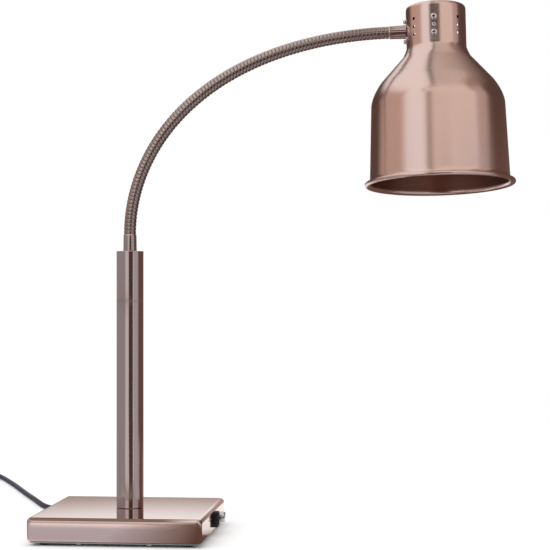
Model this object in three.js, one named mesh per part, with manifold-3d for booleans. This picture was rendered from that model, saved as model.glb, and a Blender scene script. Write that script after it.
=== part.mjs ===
// A table-top food heat lamp: a weighted square base, a round post, a ribbed gooseneck arm
// and a spun metal shade over an infrared reflector bulb. Millimetres, +Z up, X to the right
// along the base's front, Y to the back. The origin lies under the post, on the underside of
// the pressed-out middle panel of the base's floor plate.

import * as THREE from 'three';
import { mergeVertices } from 'three/addons/utils/BufferGeometryUtils.js';
import Module from 'manifold-3d';

const wasm = await Module();
wasm.setup();

// Clearances and mesh fineness
const seat_gap = 0.3;
const overrun = 2;
const weld = 0.001;
const fine_sides = 30;
const round_sides = 18;
const small_sides = 10;
const drill_sides = 8;
const bend_steps = 3;

// Base
const base_width = 200;
const base_depth = 198;
const cover_height = 27;
const cover_sheet = 1.5;
const cover_top_bend = 5;
const cover_foot_bend = 3;
const cover_corner = 6;
const cover_lip = 5;
const plate_sheet = 1.2;
const plate_inset = 2.5;
const panel_drop = 1;
const panel_width = 110;
const panel_depth = 110;
const ballast_height = 12;
const ballast_side_room = 26;
const ballast_end_room = 19;
const ballast_hole = 23;
const foot_radius = 7.8;
const foot_stand = 2.2;
const foot_stem_radius = 2.6;
const foot_spread_share = 0.405;
const plate_screw_x = 40;
const plate_screw_head = 3;
const plate_screw_head_height = 1.1;
const plate_screw_shank = 1.5;
const screw_crown_shares = [0.7, 0.88];
const screw_slot_shares = [0.18, 0.55];

// Post
const post_radius = 16;
const post_length = 302.5;
const post_wall = 1.5;
const post_plug_height = 10;
const stud_radius = 5;
const stud_length = 20;
const stud_drop = 8;
const lead_bore = 3;
const nut_flats = 14;
const nut_height = 5;

// Gooseneck
const hose_radius = 7.1;
const hose_groove_depth = 0.8;
const hose_bore = 2.95;
const rib_pitch = 4.44;
const segments = 8;
const ribs_per_segment = 12;
const rib_points = 8;
const ribs_per_bore_ring = 5;
const bend_angle = THREE.MathUtils.degToRad(88.6);
const bend_swell_share = 0.141;
const hose_end_radius = 6.3;
const hose_end_length = 13;
const ball_radius = 4.6;
const ball_depth_share = 0.7;
const socket_ring_share = 0.8;
const lip_setback = 0.35;
const lip_radius = 6.1;
const neck_setback = 1.1;
const ferrule_length = 20;
const ferrule_tip_radius = 7.6;
const ferrule_foot_radius = 8;
const ferrule_chamfer = 1.2;
const ferrule_spigot = 5;
const spigot_length = 9;

// Shade, in a frame with the arm's axis at height zero
const neck_radius = 34.6;
const neck_top = 28.2;
const neck_foot = -20;
const neck_fillet = 5;
const shade_sheet = 1.2;
const shoulder_radius = 77.2;
const shoulder_foot = -90;
const body_radius = 80.3;
const body_foot = -172.8;
const rim_radius = 86.8;
const rim_foot = -180.2;
const bead_radius = 1.7;
const bead_turns = [1.1, 0.6, 0.1, -0.35, -0.8, -1.25];
const neck_curve_share = 0.04;
const slope_start_shares = [0.11, 0.17];
const slope_end_shares = [0.71, 0.58];
const shoulder_curve_share = 0.82;
const head_roll = THREE.MathUtils.degToRad(-3.8);
const vent_radius = 1.85;
const vent_rows = [9.6, 0.4, -8.6];
const vent_columns = [[-47.5, 0], [45.5, 0], [131.5, 2], [-134, 3.3]];
const front_rows = [8.2, -0.8, -10];
const front_azimuth = THREE.MathUtils.degToRad(-4.5);
const front_head_radius = 3.9;
const front_head_height = 2.8;
const front_shank = 2;
const rivet_head = 2.4;
const rivet_height = 1.2;
const rivet_shank = 1.5;
const rivet_crown_shares = [0.8, 0.7];
const arm_screw_reach = 11.8;
const arm_head_radius = 2.9;
const arm_head_height = 2.9;
const arm_shank = 1.5;

// Lampholder and its bracket
const strap_sheet = 1.5;
const strap_width = 14;
const strap_top = 22.8;
const strap_foot = -15;
const arm_plate_height = 32;
const holder_radius = 20;
const holder_foot = -16;
const holder_roof = 5;
const holder_bore = 15.2;
const holder_shoulder_shares = [0.85, 0.75];
const holder_wire_shares = [0.55, 0.28];
const holder_screw_shank = 2;
const holder_screw_head = 3.6;
const holder_screw_head_height = 2.2;
const shell_radius = 14.9;
const shell_wall = 1;
const contact_radius = 4;
const contact_height = 1.6;
const wire_radius = 1.1;

// Bulb
const cap_radius = 13.2;
const cap_length = 25;
const cap_wall = 0.8;
const cap_cone_share = 0.3;
const cap_floor_share = 0.35;
const tip_radius = 4.5;
const skirt_radius = 17.5;
const skirt_wall = 1;
const skirt_foot = -44;
const glass_wall = 1;
const glass_spigot = 4;
const bulb_radius = 60.5;
const bulb_belly = -110;
const bulb_face = -124;
const glass_flare_shares = [0.16, 0.03];
const glass_belly_share = 0.46;
const glass_face_share = 0.45;

// Switch and dimmer on the right-hand wall
const control_height = 13.6;
const switch_y = 5;
const bezel_width = 13;
const bezel_height = 18.4;
const bezel_stand = 4.8;
const switch_width = 11;
const switch_height = 16;
const switch_depth = 15;
const rocker_width = 8.6;
const rocker_height = 13.6;
const rocker_stand = 5.6;
const rocker_gap = 0.6;
const rocker_pivot_radius = 1.4;
const rocker_edge_share = 0.28;
const rocker_dip_share = 0.1;
const rocker_sink_share = 0.22;
const rocker_tilt = THREE.MathUtils.degToRad(9);
const dimmer_y = 22;
const dimmer_radius = 8;
const dimmer_depth = 9;
const dimmer_bush = 3.5;
const dimmer_bush_length = 4.5;
const dimmer_nut_flats = 9;
const dimmer_nut_height = 1.8;
const dimmer_shaft = 2.2;
const knob_radius = 6.5;
const knob_stand = 11;
const knob_wall = 1.4;

// Terminal block, lead, mains cord and plug
const terminal_width = 18;
const terminal_depth = 32;
const terminal_height = 11;
const terminal_side_room = 45;
const terminal_back_room = 69;
const lead_radius = 1.9;
const lead_sides = 6;
const lead_steps = 72;
const lead_post_shares = [0.02, 0.35, 0.7, 0.98];
const lead_well_shares = [[0.6, 1.2], [0.28, 2.2], [0.05, 0.5]];
const ribs_per_lead_point = 4;
const cord_radius = 3.5;
const cord_sides = 10;
const cord_exit_room = 16;
const cord_exit_height = 11.5;
const cord_inside = 5;
const relief_radius = 5.6;
const relief_tip = 4.4;
const relief_length = 24;
const relief_flange = 7.2;
const relief_flange_sheet = 3;
const coil_sides = 6;
const coil_loop_steps = 24;
const coil_loops = 5.5;
const coil_mid_radius = 39;
const coil_turn_gap = 1.6;
const coil_lift = 1.3;
const tie_sheet = 0.9;
const tie_width = 9;
const tie_turn_share = 0.75;
const coil_heading_share = 0.75;
const tail_length = 40;
const tail_steps = 6;
const cord_steps = 34;
const plug_radius = 18.4;
const plug_length = 26;
const plug_collar = 9;
const plug_collar_length = 22;
const plug_shoulder_share = 0.93;
const plug_chin = 3;
const plug_bevel = 4;
const pin_radius = 2.4;
const pin_length = 19;
const pin_spacing = 19;

// Heights worked out from the sizes above
const plate_foot = panel_drop;
const plate_top = plate_foot + plate_sheet;
const cover_foot = plate_top + seat_gap;
const cover_top = cover_foot + cover_height;
const cover_roof = cover_top - cover_sheet;
const table = -foot_stand;
const ballast_foot = cover_foot + seat_gap + plate_sheet;
const ballast_top = ballast_foot + ballast_height;
const post_foot = cover_top + seat_gap;
const post_top = post_foot + post_length;
const control_z = cover_foot + control_height;
const wall_x = base_width / 2;
const wall_y = base_depth / 2;
const terminal_x = terminal_side_room - wall_x;
const terminal_y = wall_y - terminal_back_room;
const terminal_mid = ballast_top + seat_gap + terminal_height / 2;
const stud_foot = cover_roof - stud_drop;
const cord_exit_x = cord_exit_room - wall_x;
const cord_exit_z = cover_foot + cord_exit_height;
const hose_foot = post_top + seat_gap + ferrule_length;
const holder_top = strap_top - strap_sheet - seat_gap;

// Materials
const copper = finish(0xc9a295, 0.3, 1);
const copper_dark = finish(0xa9857a, 0.35, 1);
const steel = finish(0xb9b6b3, 0.35, 1);
const raw_steel = finish(0x8b8a88, 0.55, 0.9);
const chrome = finish(0xd9dade, 0.12, 1);
const brass = finish(0xc9a75a, 0.3, 1);
const black_rubber = finish(0x202124, 0.8, 0);
const black_plastic = finish(0x1d1d1f, 0.45, 0);
const cord_plastic = finish(0x2b2f43, 0.5, 0);
const white_ceramic = finish(0xe9e6de, 0.4, 0);
const white_plastic = finish(0xe6e6e2, 0.5, 0);
const red_glass = finish(0xb8342a, 0.1, 0);

function finish(color, roughness, metalness) {
  return new THREE.MeshStandardMaterial({ color, roughness, metalness });
}

// Solids

function volume_of(geometry) {
  const points = geometry.attributes.position;
  const corners = [0, 1, 2].map(() => new THREE.Vector3());
  let sum = 0;
  for (let i = 0; i < geometry.index.count; i += 3) {
    corners.forEach((corner, n) => corner.fromBufferAttribute(points, geometry.index.getX(i + n)));
    sum += corners[0].dot(corners[1].clone().cross(corners[2]));
  }
  return sum;
}

// One closed skin with shared corners, no collapsed faces, and its faces pointing out
function closed(geometry) {
  const bare = geometry.clone();
  bare.deleteAttribute('normal');
  bare.deleteAttribute('uv');
  const merged = mergeVertices(bare, weld);
  const kept = [];
  for (let i = 0; i < merged.index.count; i += 3) {
    const [a, b, c] = [0, 1, 2].map((n) => merged.index.getX(i + n));
    if (a !== b && b !== c && c !== a) kept.push(a, b, c);
  }
  merged.setIndex(kept);
  if (volume_of(merged) < 0) {
    for (let i = 0; i < kept.length; i += 3) [kept[i], kept[i + 1]] = [kept[i + 1], kept[i]];
    merged.setIndex(kept);
  }
  return merged;
}

function to_solid(geometry) {
  const vertProperties = new Float32Array(geometry.attributes.position.array);
  const triVerts = new Uint32Array(geometry.index.array);
  return new wasm.Manifold(new wasm.Mesh({ numProp: 3, vertProperties, triVerts }));
}

function to_geometry(solid) {
  const mesh = solid.getMesh();
  const geometry = new THREE.BufferGeometry();
  geometry.setAttribute('position', new THREE.BufferAttribute(new Float32Array(mesh.vertProperties), 3));
  geometry.setIndex(Array.from(mesh.triVerts));
  return geometry;
}

function cut(body, ...tools) {
  return to_geometry(tools.reduce((left, tool) => left.subtract(to_solid(tool)), to_solid(body)));
}

function join(body, ...others) {
  return to_geometry(others.reduce((sum, other) => sum.add(to_solid(other)), to_solid(body)));
}

function common(body, other) {
  return to_geometry(to_solid(body).intersect(to_solid(other)));
}

// A turned piece on the Z axis from its half outline as [radius, height] pairs
function turned(outline, sides) {
  const points = outline.map(([radius, height]) => new THREE.Vector2(radius, height));
  const first = points[0];
  const last = points[points.length - 1];
  if (first.x > 0 || last.x > 0) points.push(first.clone());
  return closed(new THREE.LatheGeometry(points, sides).rotateX(Math.PI / 2));
}

function rod(radius, foot, top, sides = small_sides) {
  return turned([[0, foot], [radius, foot], [radius, top], [0, top]], sides);
}

// Cuts a hole whose flats stand `radius` from its axis
function drill(radius, foot, top) {
  return rod(radius / Math.cos(Math.PI / drill_sides), foot, top, drill_sides);
}

function pipe(radius, bore, foot, top, sides = round_sides) {
  return turned([[bore, foot], [radius, foot], [radius, top], [bore, top]], sides);
}

// A box given by its middle and foot
function block(width, depth, foot, top, x = 0, y = 0) {
  const height = top - foot;
  const shape = new THREE.BoxGeometry(width, depth, height);
  return closed(shape.translate(x, y, foot + height / 2));
}

// The hexagon's flats are `flats` apart
function nut(flats, bore, foot, top) {
  const corner = flats / 2 / Math.cos(Math.PI / 6);
  return cut(rod(corner, foot, top, 6), rod(bore, foot - overrun, top + overrun));
}

function rounded_rectangle(width, depth, corner) {
  const shape = new THREE.Shape();
  const x = width / 2;
  const y = depth / 2;
  const quarter = Math.PI / 2;
  shape.absarc(x - corner, y - corner, corner, 0, quarter);
  shape.absarc(-x + corner, y - corner, corner, quarter, 2 * quarter);
  shape.absarc(-x + corner, -y + corner, corner, 2 * quarter, 3 * quarter);
  shape.absarc(x - corner, -y + corner, corner, 3 * quarter, 4 * quarter);
  shape.closePath();
  return shape;
}

function slab(width, depth, corner, foot, top) {
  const shape = rounded_rectangle(width, depth, corner);
  const solid = new THREE.ExtrudeGeometry(shape, {
    depth: top - foot, bevelEnabled: false, curveSegments: bend_steps,
  });
  return closed(solid.translate(0, 0, foot));
}

// A slab whose two rims are rounded by `bend`
function pillow(width, depth, corner, bend, foot, top) {
  const shape = rounded_rectangle(width, depth, corner);
  const solid = new THREE.ExtrudeGeometry(shape, {
    depth: top - foot - 2 * bend,
    bevelThickness: bend,
    bevelSize: bend,
    bevelOffset: -bend,
    bevelSegments: bend_steps,
    curveSegments: bend_steps,
  });
  return closed(solid.translate(0, 0, foot + bend));
}

// A round bar swept along a curve
function swept(curve, radius, sides, steps) {
  const section = new THREE.Shape();
  const turn = (2 * Math.PI) / sides;
  section.moveTo(radius, 0);
  for (let i = 1; i < sides; i += 1) {
    section.lineTo(radius * Math.cos(i * turn), radius * Math.sin(i * turn));
  }
  section.closePath();
  return closed(new THREE.ExtrudeGeometry(section, { extrudePath: curve, steps }));
}

// Turned to lie on the neck's wall at an angle from the front, its +Z pointing outwards
function on_wall(geometry, distance, height, azimuth) {
  return geometry.clone().rotateX(Math.PI / 2).translate(0, -distance, height).rotateZ(azimuth);
}

function pan_screw(head_radius, head_height, shank_radius, length) {
  const [crown_radius_share, crown_height_share] = screw_crown_shares;
  const [slot_width_share, slot_depth_share] = screw_slot_shares;
  const slot_foot = (1 - slot_depth_share) * head_height;
  const blank = turned([
    [0, -length], [shank_radius, -length], [shank_radius, 0], [head_radius, 0],
    [head_radius, slot_foot], [crown_radius_share * head_radius, crown_height_share * head_height],
    [0, head_height],
  ], small_sides);
  const slot = slot_width_share * head_radius;
  const slots = [[head_radius, slot], [slot, head_radius]].map(([width, depth]) =>
    block(width, depth, slot_foot, 2 * head_height));
  return cut(blank, ...slots);
}

// The assembly

const lamp = new THREE.Group();
const arm_end = new THREE.Group();
const head = new THREE.Group();

function piece(name, geometry, material, parent = lamp) {
  const mesh = new THREE.Mesh(geometry, material);
  mesh.name = name;
  parent.add(mesh);
  return mesh;
}

// Base

function cover_skin(inset) {
  const width = base_width - 2 * inset;
  const depth = base_depth - 2 * inset;
  const corner = cover_corner - inset;
  const foot = cover_foot + inset;
  const top = cover_top - inset;
  const height = cover_height;
  const upper = pillow(width, depth, corner, cover_top_bend - inset, foot - height, top);
  const lower = pillow(width, depth, corner, cover_foot_bend - inset, foot, top + height);
  return common(upper, lower);
}

function base_cover() {
  const opening = slab(base_width - 2 * cover_lip, base_depth - 2 * cover_lip, cover_corner,
    cover_foot - overrun, cover_foot + cover_foot_bend);
  const switch_hole = block(4 * cover_sheet, switch_width + 2 * seat_gap,
    control_z - switch_height / 2 - seat_gap, control_z + switch_height / 2 + seat_gap, wall_x, switch_y);
  const dimmer_hole = rod(dimmer_bush + seat_gap, -overrun * 2, overrun * 2)
    .rotateY(Math.PI / 2).translate(wall_x, dimmer_y, control_z);
  const cord_hole = rod(relief_radius + seat_gap, -overrun * 2, overrun * 2)
    .rotateX(Math.PI / 2).translate(cord_exit_x, wall_y, cord_exit_z);
  const stud_hole = rod(stud_radius + seat_gap, cover_roof - overrun, cover_top + overrun);
  const holes = plate_screw_places().map(([x, y]) =>
    drill(plate_screw_shank + seat_gap, cover_foot - overrun, cover_foot + overrun).translate(x, y, 0));
  return cut(cover_skin(0), cover_skin(cover_sheet), opening, switch_hole, dimmer_hole, cord_hole,
    stud_hole, ...holes);
}

function plate_screw_places() {
  const y = wall_y - cover_lip;
  return [[-1, -1], [1, -1], [-1, 1], [1, 1]].map(([i, j]) => [i * plate_screw_x, j * y]);
}

function foot_places() {
  const x = base_width * foot_spread_share;
  const y = base_depth * foot_spread_share;
  return [[-1, -1], [1, -1], [-1, 1], [1, 1]].map(([i, j]) => [i * x, j * y]);
}

function base_plate() {
  const width = base_width - 2 * plate_inset;
  const depth = base_depth - 2 * plate_inset;
  const border = slab(width, depth, cover_corner, plate_foot, plate_top);
  const panel = slab(panel_width, panel_depth, cover_corner, 0, plate_top);
  const hollow = slab(panel_width - 2 * plate_sheet, panel_depth - 2 * plate_sheet,
    cover_corner - plate_sheet, plate_sheet, plate_top + overrun);
  const feet = foot_places().map(([x, y]) =>
    drill(foot_stem_radius + seat_gap, plate_foot - overrun, plate_top + overrun).translate(x, y, 0));
  const screws = plate_screw_places().map(([x, y]) =>
    drill(plate_screw_shank + seat_gap, plate_foot - overrun, plate_top + overrun).translate(x, y, 0));
  return cut(join(border, panel), hollow, ...feet, ...screws);
}

function foot() {
  const stem_top = plate_top + seat_gap;
  const barb = foot_stem_radius + 3 * seat_gap;
  const head_foot = plate_foot - seat_gap;
  return turned([
    [0, table], [foot_radius, table], [foot_radius, head_foot], [foot_stem_radius, head_foot],
    [foot_stem_radius, stem_top], [barb, stem_top], [foot_stem_radius, stem_top + foot_stem_radius],
    [0, stem_top + foot_stem_radius],
  ], small_sides);
}

function plate_screw() {
  const blank = pan_screw(plate_screw_head, plate_screw_head_height, plate_screw_shank,
    cover_foot + cover_sheet - plate_foot + overrun);
  return blank.rotateX(Math.PI).translate(0, 0, plate_foot - seat_gap);
}

function ballast() {
  const plate = slab(base_width - 2 * ballast_side_room, base_depth - 2 * ballast_end_room,
    cover_corner, ballast_foot, ballast_top);
  const well = rod(ballast_hole, ballast_foot - overrun, ballast_top + overrun, round_sides);
  return cut(plate, well);
}

function add_base() {
  piece('base_cover', base_cover(), copper);
  piece('base_plate', base_plate(), raw_steel);
  piece('ballast_plate', ballast(), raw_steel);
  foot_places().forEach(([x, y], i) => {
    piece(`foot_${i + 1}`, foot(), black_rubber).position.set(x, y, 0);
  });
  plate_screw_places().forEach(([x, y], i) => {
    piece(`plate_screw_${i + 1}`, plate_screw(), chrome).position.set(x, y, 0);
  });
}

// Post

function add_post() {
  const bore = post_radius - post_wall;
  const plug_radius = bore - seat_gap;
  const plug_foot = post_foot + seat_gap;
  piece('post_tube', pipe(post_radius, bore, post_foot, post_top, fine_sides), copper);
  piece('post_base_plug', pipe(plug_radius, stud_radius + seat_gap, plug_foot,
    plug_foot + post_plug_height), raw_steel);
  piece('post_top_plug', pipe(plug_radius, ferrule_spigot + seat_gap, post_top - post_plug_height,
    post_top), copper_dark);
  piece('post_stud', pipe(stud_radius, lead_bore, stud_foot, stud_foot + stud_length, small_sides), steel);
  piece('post_nut', nut(nut_flats, stud_radius + seat_gap, cover_roof - seat_gap - nut_height,
    cover_roof - seat_gap), steel);
}

// Gooseneck: a chain of ribs whose heading, measured from upright, grows along the hose

const ribs = segments * ribs_per_segment;
const groove_radius = hose_radius - hose_groove_depth;
const socket_radius = (ball_radius + seat_gap) / Math.cos(Math.PI / rib_points);

function heading(rib) {
  const share = rib / ribs;
  return bend_angle * (share + bend_swell_share * Math.sin(Math.PI * share));
}

function direction(angle) {
  return new THREE.Vector3(Math.sin(angle), 0, Math.cos(angle));
}

const grooves = [new THREE.Vector3(0, 0, hose_foot)];
for (let rib = 0; rib < ribs; rib += 1) {
  const step = direction(heading(rib + 0.5)).multiplyScalar(rib_pitch);
  grooves.push(grooves[rib].clone().add(step));
}

// A ring of points round the hose at `along` past a groove, along that groove's own heading
function hose_ring(rib, along, radius) {
  const angle = heading(rib);
  const centre = grooves[rib].clone().addScaledVector(direction(angle), along);
  const side = new THREE.Vector3(Math.cos(angle), 0, -Math.sin(angle)).multiplyScalar(radius);
  const across = new THREE.Vector3(0, radius, 0);
  return Array.from({ length: rib_points }, (_, i) => {
    const turn = (2 * Math.PI * i) / rib_points;
    return centre.clone().addScaledVector(side, Math.cos(turn)).addScaledVector(across, Math.sin(turn));
  });
}

// A skin over rings taken in order, closed from the last ring back to the first
function ring_skin(rings) {
  const geometry = new THREE.BufferGeometry().setFromPoints(rings.flat());
  const index = [];
  rings.forEach((_, row) => {
    const next_row = (row + 1) % rings.length;
    for (let i = 0; i < rib_points; i += 1) {
      const j = (i + 1) % rib_points;
      const [a, b] = [row * rib_points + i, row * rib_points + j];
      const [c, d] = [next_row * rib_points + i, next_row * rib_points + j];
      index.push(a, b, c, b, d, c);
    }
  });
  geometry.setIndex(index);
  return closed(geometry);
}

function on_sphere(radius, along) {
  return Math.sqrt(radius * radius - along * along);
}

// The lower end is a straight plain end in the ferrule, or a ball in the socket below it
function lower_end(first) {
  if (first === 0) {
    return [[-hose_end_length, hose_bore], [-hose_end_length, hose_end_radius], [0, hose_end_radius]];
  }
  const tip = -ball_depth_share * ball_radius;
  return [[tip, hose_bore], [tip, on_sphere(ball_radius, tip)], [tip / 2, on_sphere(ball_radius, tip / 2)],
    [0, ball_radius], [neck_setback, on_sphere(ball_radius, neck_setback)]];
}

// The upper end is a straight plain end in the ferrule, or a socket round the ball above it
function upper_end(last) {
  if (last === ribs) {
    return [[0, hose_end_radius], [hose_end_length, hose_end_radius], [hose_end_length, hose_bore]];
  }
  const floor = -on_sphere(socket_radius, hose_bore);
  return [[-lip_setback, lip_radius], [-lip_setback, on_sphere(socket_radius, lip_setback)],
    [floor / 2, on_sphere(socket_radius, floor / 2)],
    [socket_ring_share * floor, on_sphere(socket_radius, socket_ring_share * floor)],
    [floor, hose_bore]];
}

function hose_segment(first, last) {
  const rings = lower_end(first).map(([along, radius]) => hose_ring(first, along, radius));
  for (let rib = first; rib < last; rib += 1) {
    rings.push(hose_ring(rib + 0.5 > last ? last : rib, rib_pitch / 2, hose_radius));
    if (rib + 1 < last) rings.push(hose_ring(rib + 1, 0, groove_radius));
  }
  upper_end(last).forEach(([along, radius]) => rings.push(hose_ring(last, along, radius)));
  for (let rib = last - ribs_per_bore_ring; rib > first; rib -= ribs_per_bore_ring) {
    rings.push(hose_ring(rib, 0, hose_bore));
  }
  return ring_skin(rings);
}

function ferrule() {
  const socket = hose_end_radius + seat_gap;
  const floor = ferrule_length - hose_end_length - seat_gap;
  return turned([
    [lead_bore, -spigot_length], [ferrule_spigot, -spigot_length], [ferrule_spigot, 0],
    [ferrule_foot_radius, 0], [ferrule_tip_radius, ferrule_length - ferrule_chamfer],
    [ferrule_tip_radius - ferrule_chamfer / 2, ferrule_length], [socket, ferrule_length],
    [socket, floor], [lead_bore, floor],
  ], round_sides);
}

function add_gooseneck() {
  piece('lower_ferrule', ferrule(), copper).position.z = post_top + seat_gap;
  for (let i = 0; i < segments; i += 1) {
    const first = i * ribs_per_segment;
    piece(`gooseneck_${i + 1}`, hose_segment(first, first + ribs_per_segment), copper);
  }
  const upper = piece('upper_ferrule', ferrule(), copper, arm_end);
  upper.rotation.y = -Math.PI / 2;
  upper.position.x = -neck_radius - seat_gap;
}

// Shade: the sheet's outline from the middle of the roof down to the rim

function shade_outline(inset, steps) {
  const neck = neck_radius - inset;
  const roof = neck_top - inset;
  const shoulder = shoulder_radius - inset;
  const body = body_radius - inset;
  const fillet = neck_fillet - inset;
  const slope = (out_share, down_share) => new THREE.Vector2(
    neck + out_share * (shoulder - neck), neck_foot + down_share * (shoulder_foot - neck_foot));
  const start = slope(...slope_start_shares);
  const end = slope(...slope_end_shares);
  const path = new THREE.Path();
  path.moveTo(0, roof);
  path.lineTo(neck - fillet, roof);
  path.quadraticCurveTo(neck, roof, neck, roof - fillet);
  path.lineTo(neck, neck_foot);
  path.quadraticCurveTo(neck, slope(0, neck_curve_share).y, start.x, start.y);
  path.lineTo(end.x, end.y);
  path.quadraticCurveTo(shoulder, slope(1, shoulder_curve_share).y, shoulder, shoulder_foot);
  path.lineTo(body, body_foot);
  return path.getPoints(steps).map((point) => [point.x, point.y]);
}

function rim_bead() {
  const x = rim_radius - bead_radius;
  const z = rim_foot + bead_radius;
  return bead_turns.map((turn) => [x + bead_radius * Math.cos(turn * Math.PI / 2),
    z + bead_radius * Math.sin(turn * Math.PI / 2)]);
}

function shade() {
  const outer = shade_outline(0, bend_steps + 1);
  const inner = shade_outline(shade_sheet, bend_steps - 1).reverse();
  const blank = turned([...outer, ...rim_bead(), ...inner], fine_sides);
  const reach = 3 * shade_sheet;
  const bore = (radius, height, azimuth) =>
    on_wall(drill(radius, -reach, reach), neck_radius, height, azimuth);
  const arm_side = -Math.PI / 2;
  const vents = vent_columns.flatMap(([azimuth, rise]) => vent_rows.map((row) =>
    bore(vent_radius, row + rise, THREE.MathUtils.degToRad(azimuth))));
  return cut(blank, ...vents,
    bore(front_shank + seat_gap, front_rows[0], front_azimuth),
    bore(rivet_shank + seat_gap, front_rows[1], front_azimuth),
    bore(front_shank + seat_gap, front_rows[2], front_azimuth),
    bore(ferrule_spigot + seat_gap, 0, arm_side),
    bore(arm_shank + seat_gap, arm_screw_reach, arm_side),
    bore(arm_shank + seat_gap, -arm_screw_reach, arm_side));
}

// A flat strip inside the round neck stands off the wall so that its edges clear it
const strip_face = Math.sqrt((neck_radius - shade_sheet - seat_gap) ** 2 - (strap_width / 2) ** 2);

function bracket() {
  const leg_y = -strip_face + strap_sheet / 2;
  const leg = block(strap_width, strap_sheet, strap_foot, strap_top, 0, leg_y);
  const shelf_depth = strip_face + holder_radius / 2;
  const shelf_y = -strip_face + shelf_depth / 2;
  const shelf = block(strap_width, shelf_depth, strap_top - strap_sheet, strap_top, 0, shelf_y);
  const holes = [front_rows[0], front_rows[2]].map((row) =>
    drill(front_shank + seat_gap, -overrun, overrun).rotateX(Math.PI / 2).translate(0, leg_y, row));
  const rivet_hole = drill(rivet_shank + seat_gap, -overrun, overrun)
    .rotateX(Math.PI / 2).translate(0, leg_y, front_rows[1]);
  const screw_hole = rod(holder_screw_shank + seat_gap, strap_foot, strap_top + overrun);
  return cut(join(leg, shelf), ...holes, rivet_hole, screw_hole);
}

function arm_plate() {
  const height = arm_plate_height / 2;
  const x = -strip_face + strap_sheet / 2;
  const plate = block(strap_sheet, strap_width, -height, height, x, 0);
  const holes = [arm_screw_reach, -arm_screw_reach].map((row) =>
    drill(arm_shank + seat_gap, -overrun, overrun).rotateY(Math.PI / 2).translate(x, 0, row));
  const middle = rod(ferrule_spigot + seat_gap, -overrun, overrun).rotateY(Math.PI / 2).translate(x, 0, 0);
  return cut(plate, ...holes, middle);
}

function add_shade() {
  piece('shade', shade(), copper, head);
  piece('holder_bracket', bracket().rotateZ(front_azimuth), steel, head);
  piece('arm_plate', arm_plate(), steel, head);
  const nut_face = strip_face - strap_sheet - seat_gap;
  const arm_nut = nut(nut_flats, ferrule_spigot + seat_gap, nut_face - nut_height / 2, nut_face);
  piece('arm_nut', arm_nut.rotateY(-Math.PI / 2), steel, head);
  const front_length = neck_radius - strip_face + 2 * strap_sheet;
  [front_rows[0], front_rows[2]].forEach((row, i) => {
    const screw = pan_screw(front_head_radius, front_head_height, front_shank, front_length);
    piece(`front_screw_${i + 1}`, on_wall(screw, neck_radius + seat_gap, row, front_azimuth), chrome, head);
  });
  const [crown_radius_share, crown_height_share] = rivet_crown_shares;
  const rivet = turned([
    [0, -front_length], [rivet_shank, -front_length], [rivet_shank, 0], [rivet_head, 0],
    [crown_radius_share * rivet_head, crown_height_share * rivet_height], [0, rivet_height],
  ], small_sides);
  piece('front_rivet', on_wall(rivet, neck_radius + seat_gap, front_rows[1], front_azimuth), chrome, head);
  [arm_screw_reach, -arm_screw_reach].forEach((row, i) => {
    const screw = pan_screw(arm_head_radius, arm_head_height, arm_shank, front_length);
    piece(`arm_screw_${i + 1}`, on_wall(screw, neck_radius + seat_gap, row, -Math.PI / 2), chrome, head);
  });
}

// Lampholder and bulb

const shell_foot = holder_foot + 2 * seat_gap;
const shell_top = holder_top - holder_roof - seat_gap;
const cap_top = shell_top - contact_height - 2 * seat_gap;
const cap_foot = cap_top - cap_length;
const cap_floor = cap_top - cap_floor_share * cap_length;

function lampholder() {
  const roof = holder_top - holder_roof;
  const [shoulder_radius_share, shoulder_height_share] = holder_shoulder_shares;
  const blank = turned([
    [0, roof], [holder_bore, roof], [holder_bore, holder_foot], [holder_radius, holder_foot],
    [holder_radius, shoulder_height_share * holder_top],
    [shoulder_radius_share * holder_radius, holder_top], [0, holder_top],
  ], round_sides);
  const thread = rod(holder_screw_shank + seat_gap, roof + holder_roof / 4, holder_top + overrun);
  const entries = wire_places().map(([x, y]) =>
    rod(wire_radius + seat_gap, roof + holder_roof / 2, holder_top + overrun, 8).translate(x, y, 0));
  return cut(blank, thread, ...entries);
}

function wire_places() {
  const [reach_share, side_share] = holder_wire_shares;
  return [1, -1].map((side) => [-reach_share * holder_radius, side * side_share * holder_radius]);
}

function bulb_cap() {
  const inner = cap_radius - cap_wall;
  return turned([
    [0, cap_top], [tip_radius, cap_top], [cap_radius, cap_top - cap_cone_share * cap_length],
    [cap_radius, cap_foot], [inner, cap_foot], [inner, cap_floor], [0, cap_floor],
  ], round_sides);
}

// The metal skirt joins the cap to the glass and hides the glass's neck
function bulb_skirt() {
  const top = holder_foot - seat_gap;
  const stem = cap_radius - cap_wall - seat_gap;
  const stem_top = cap_floor - seat_gap;
  const inner = skirt_radius - skirt_wall;
  return turned([
    [inner, skirt_foot], [inner, top - skirt_wall], [stem - skirt_wall, top - skirt_wall],
    [stem - skirt_wall, stem_top], [stem, stem_top], [stem, top], [skirt_radius, top],
    [skirt_radius, skirt_foot],
  ], round_sides);
}

function glass_outline(inset) {
  const neck = skirt_radius - skirt_wall - seat_gap - inset;
  const belly = bulb_radius - inset;
  const face = bulb_face + inset;
  const shoulder = skirt_foot - seat_gap - inset;
  const length = shoulder - bulb_belly;
  const [flare_radius_share, flare_share] = glass_flare_shares;
  const path = new THREE.Path();
  path.moveTo(neck, skirt_foot + glass_spigot);
  path.lineTo(neck, shoulder);
  path.bezierCurveTo(neck + flare_radius_share * belly, shoulder - flare_share * length,
    belly, shoulder - glass_belly_share * length, belly, bulb_belly);
  path.quadraticCurveTo(belly, face, glass_face_share * belly, face);
  path.lineTo(0, face);
  return path.getPoints(bend_steps + 1).map((point) => [point.x, point.y]);
}

function bulb_glass() {
  return turned([...glass_outline(glass_wall).reverse(), ...glass_outline(0)], fine_sides - small_sides);
}

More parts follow.
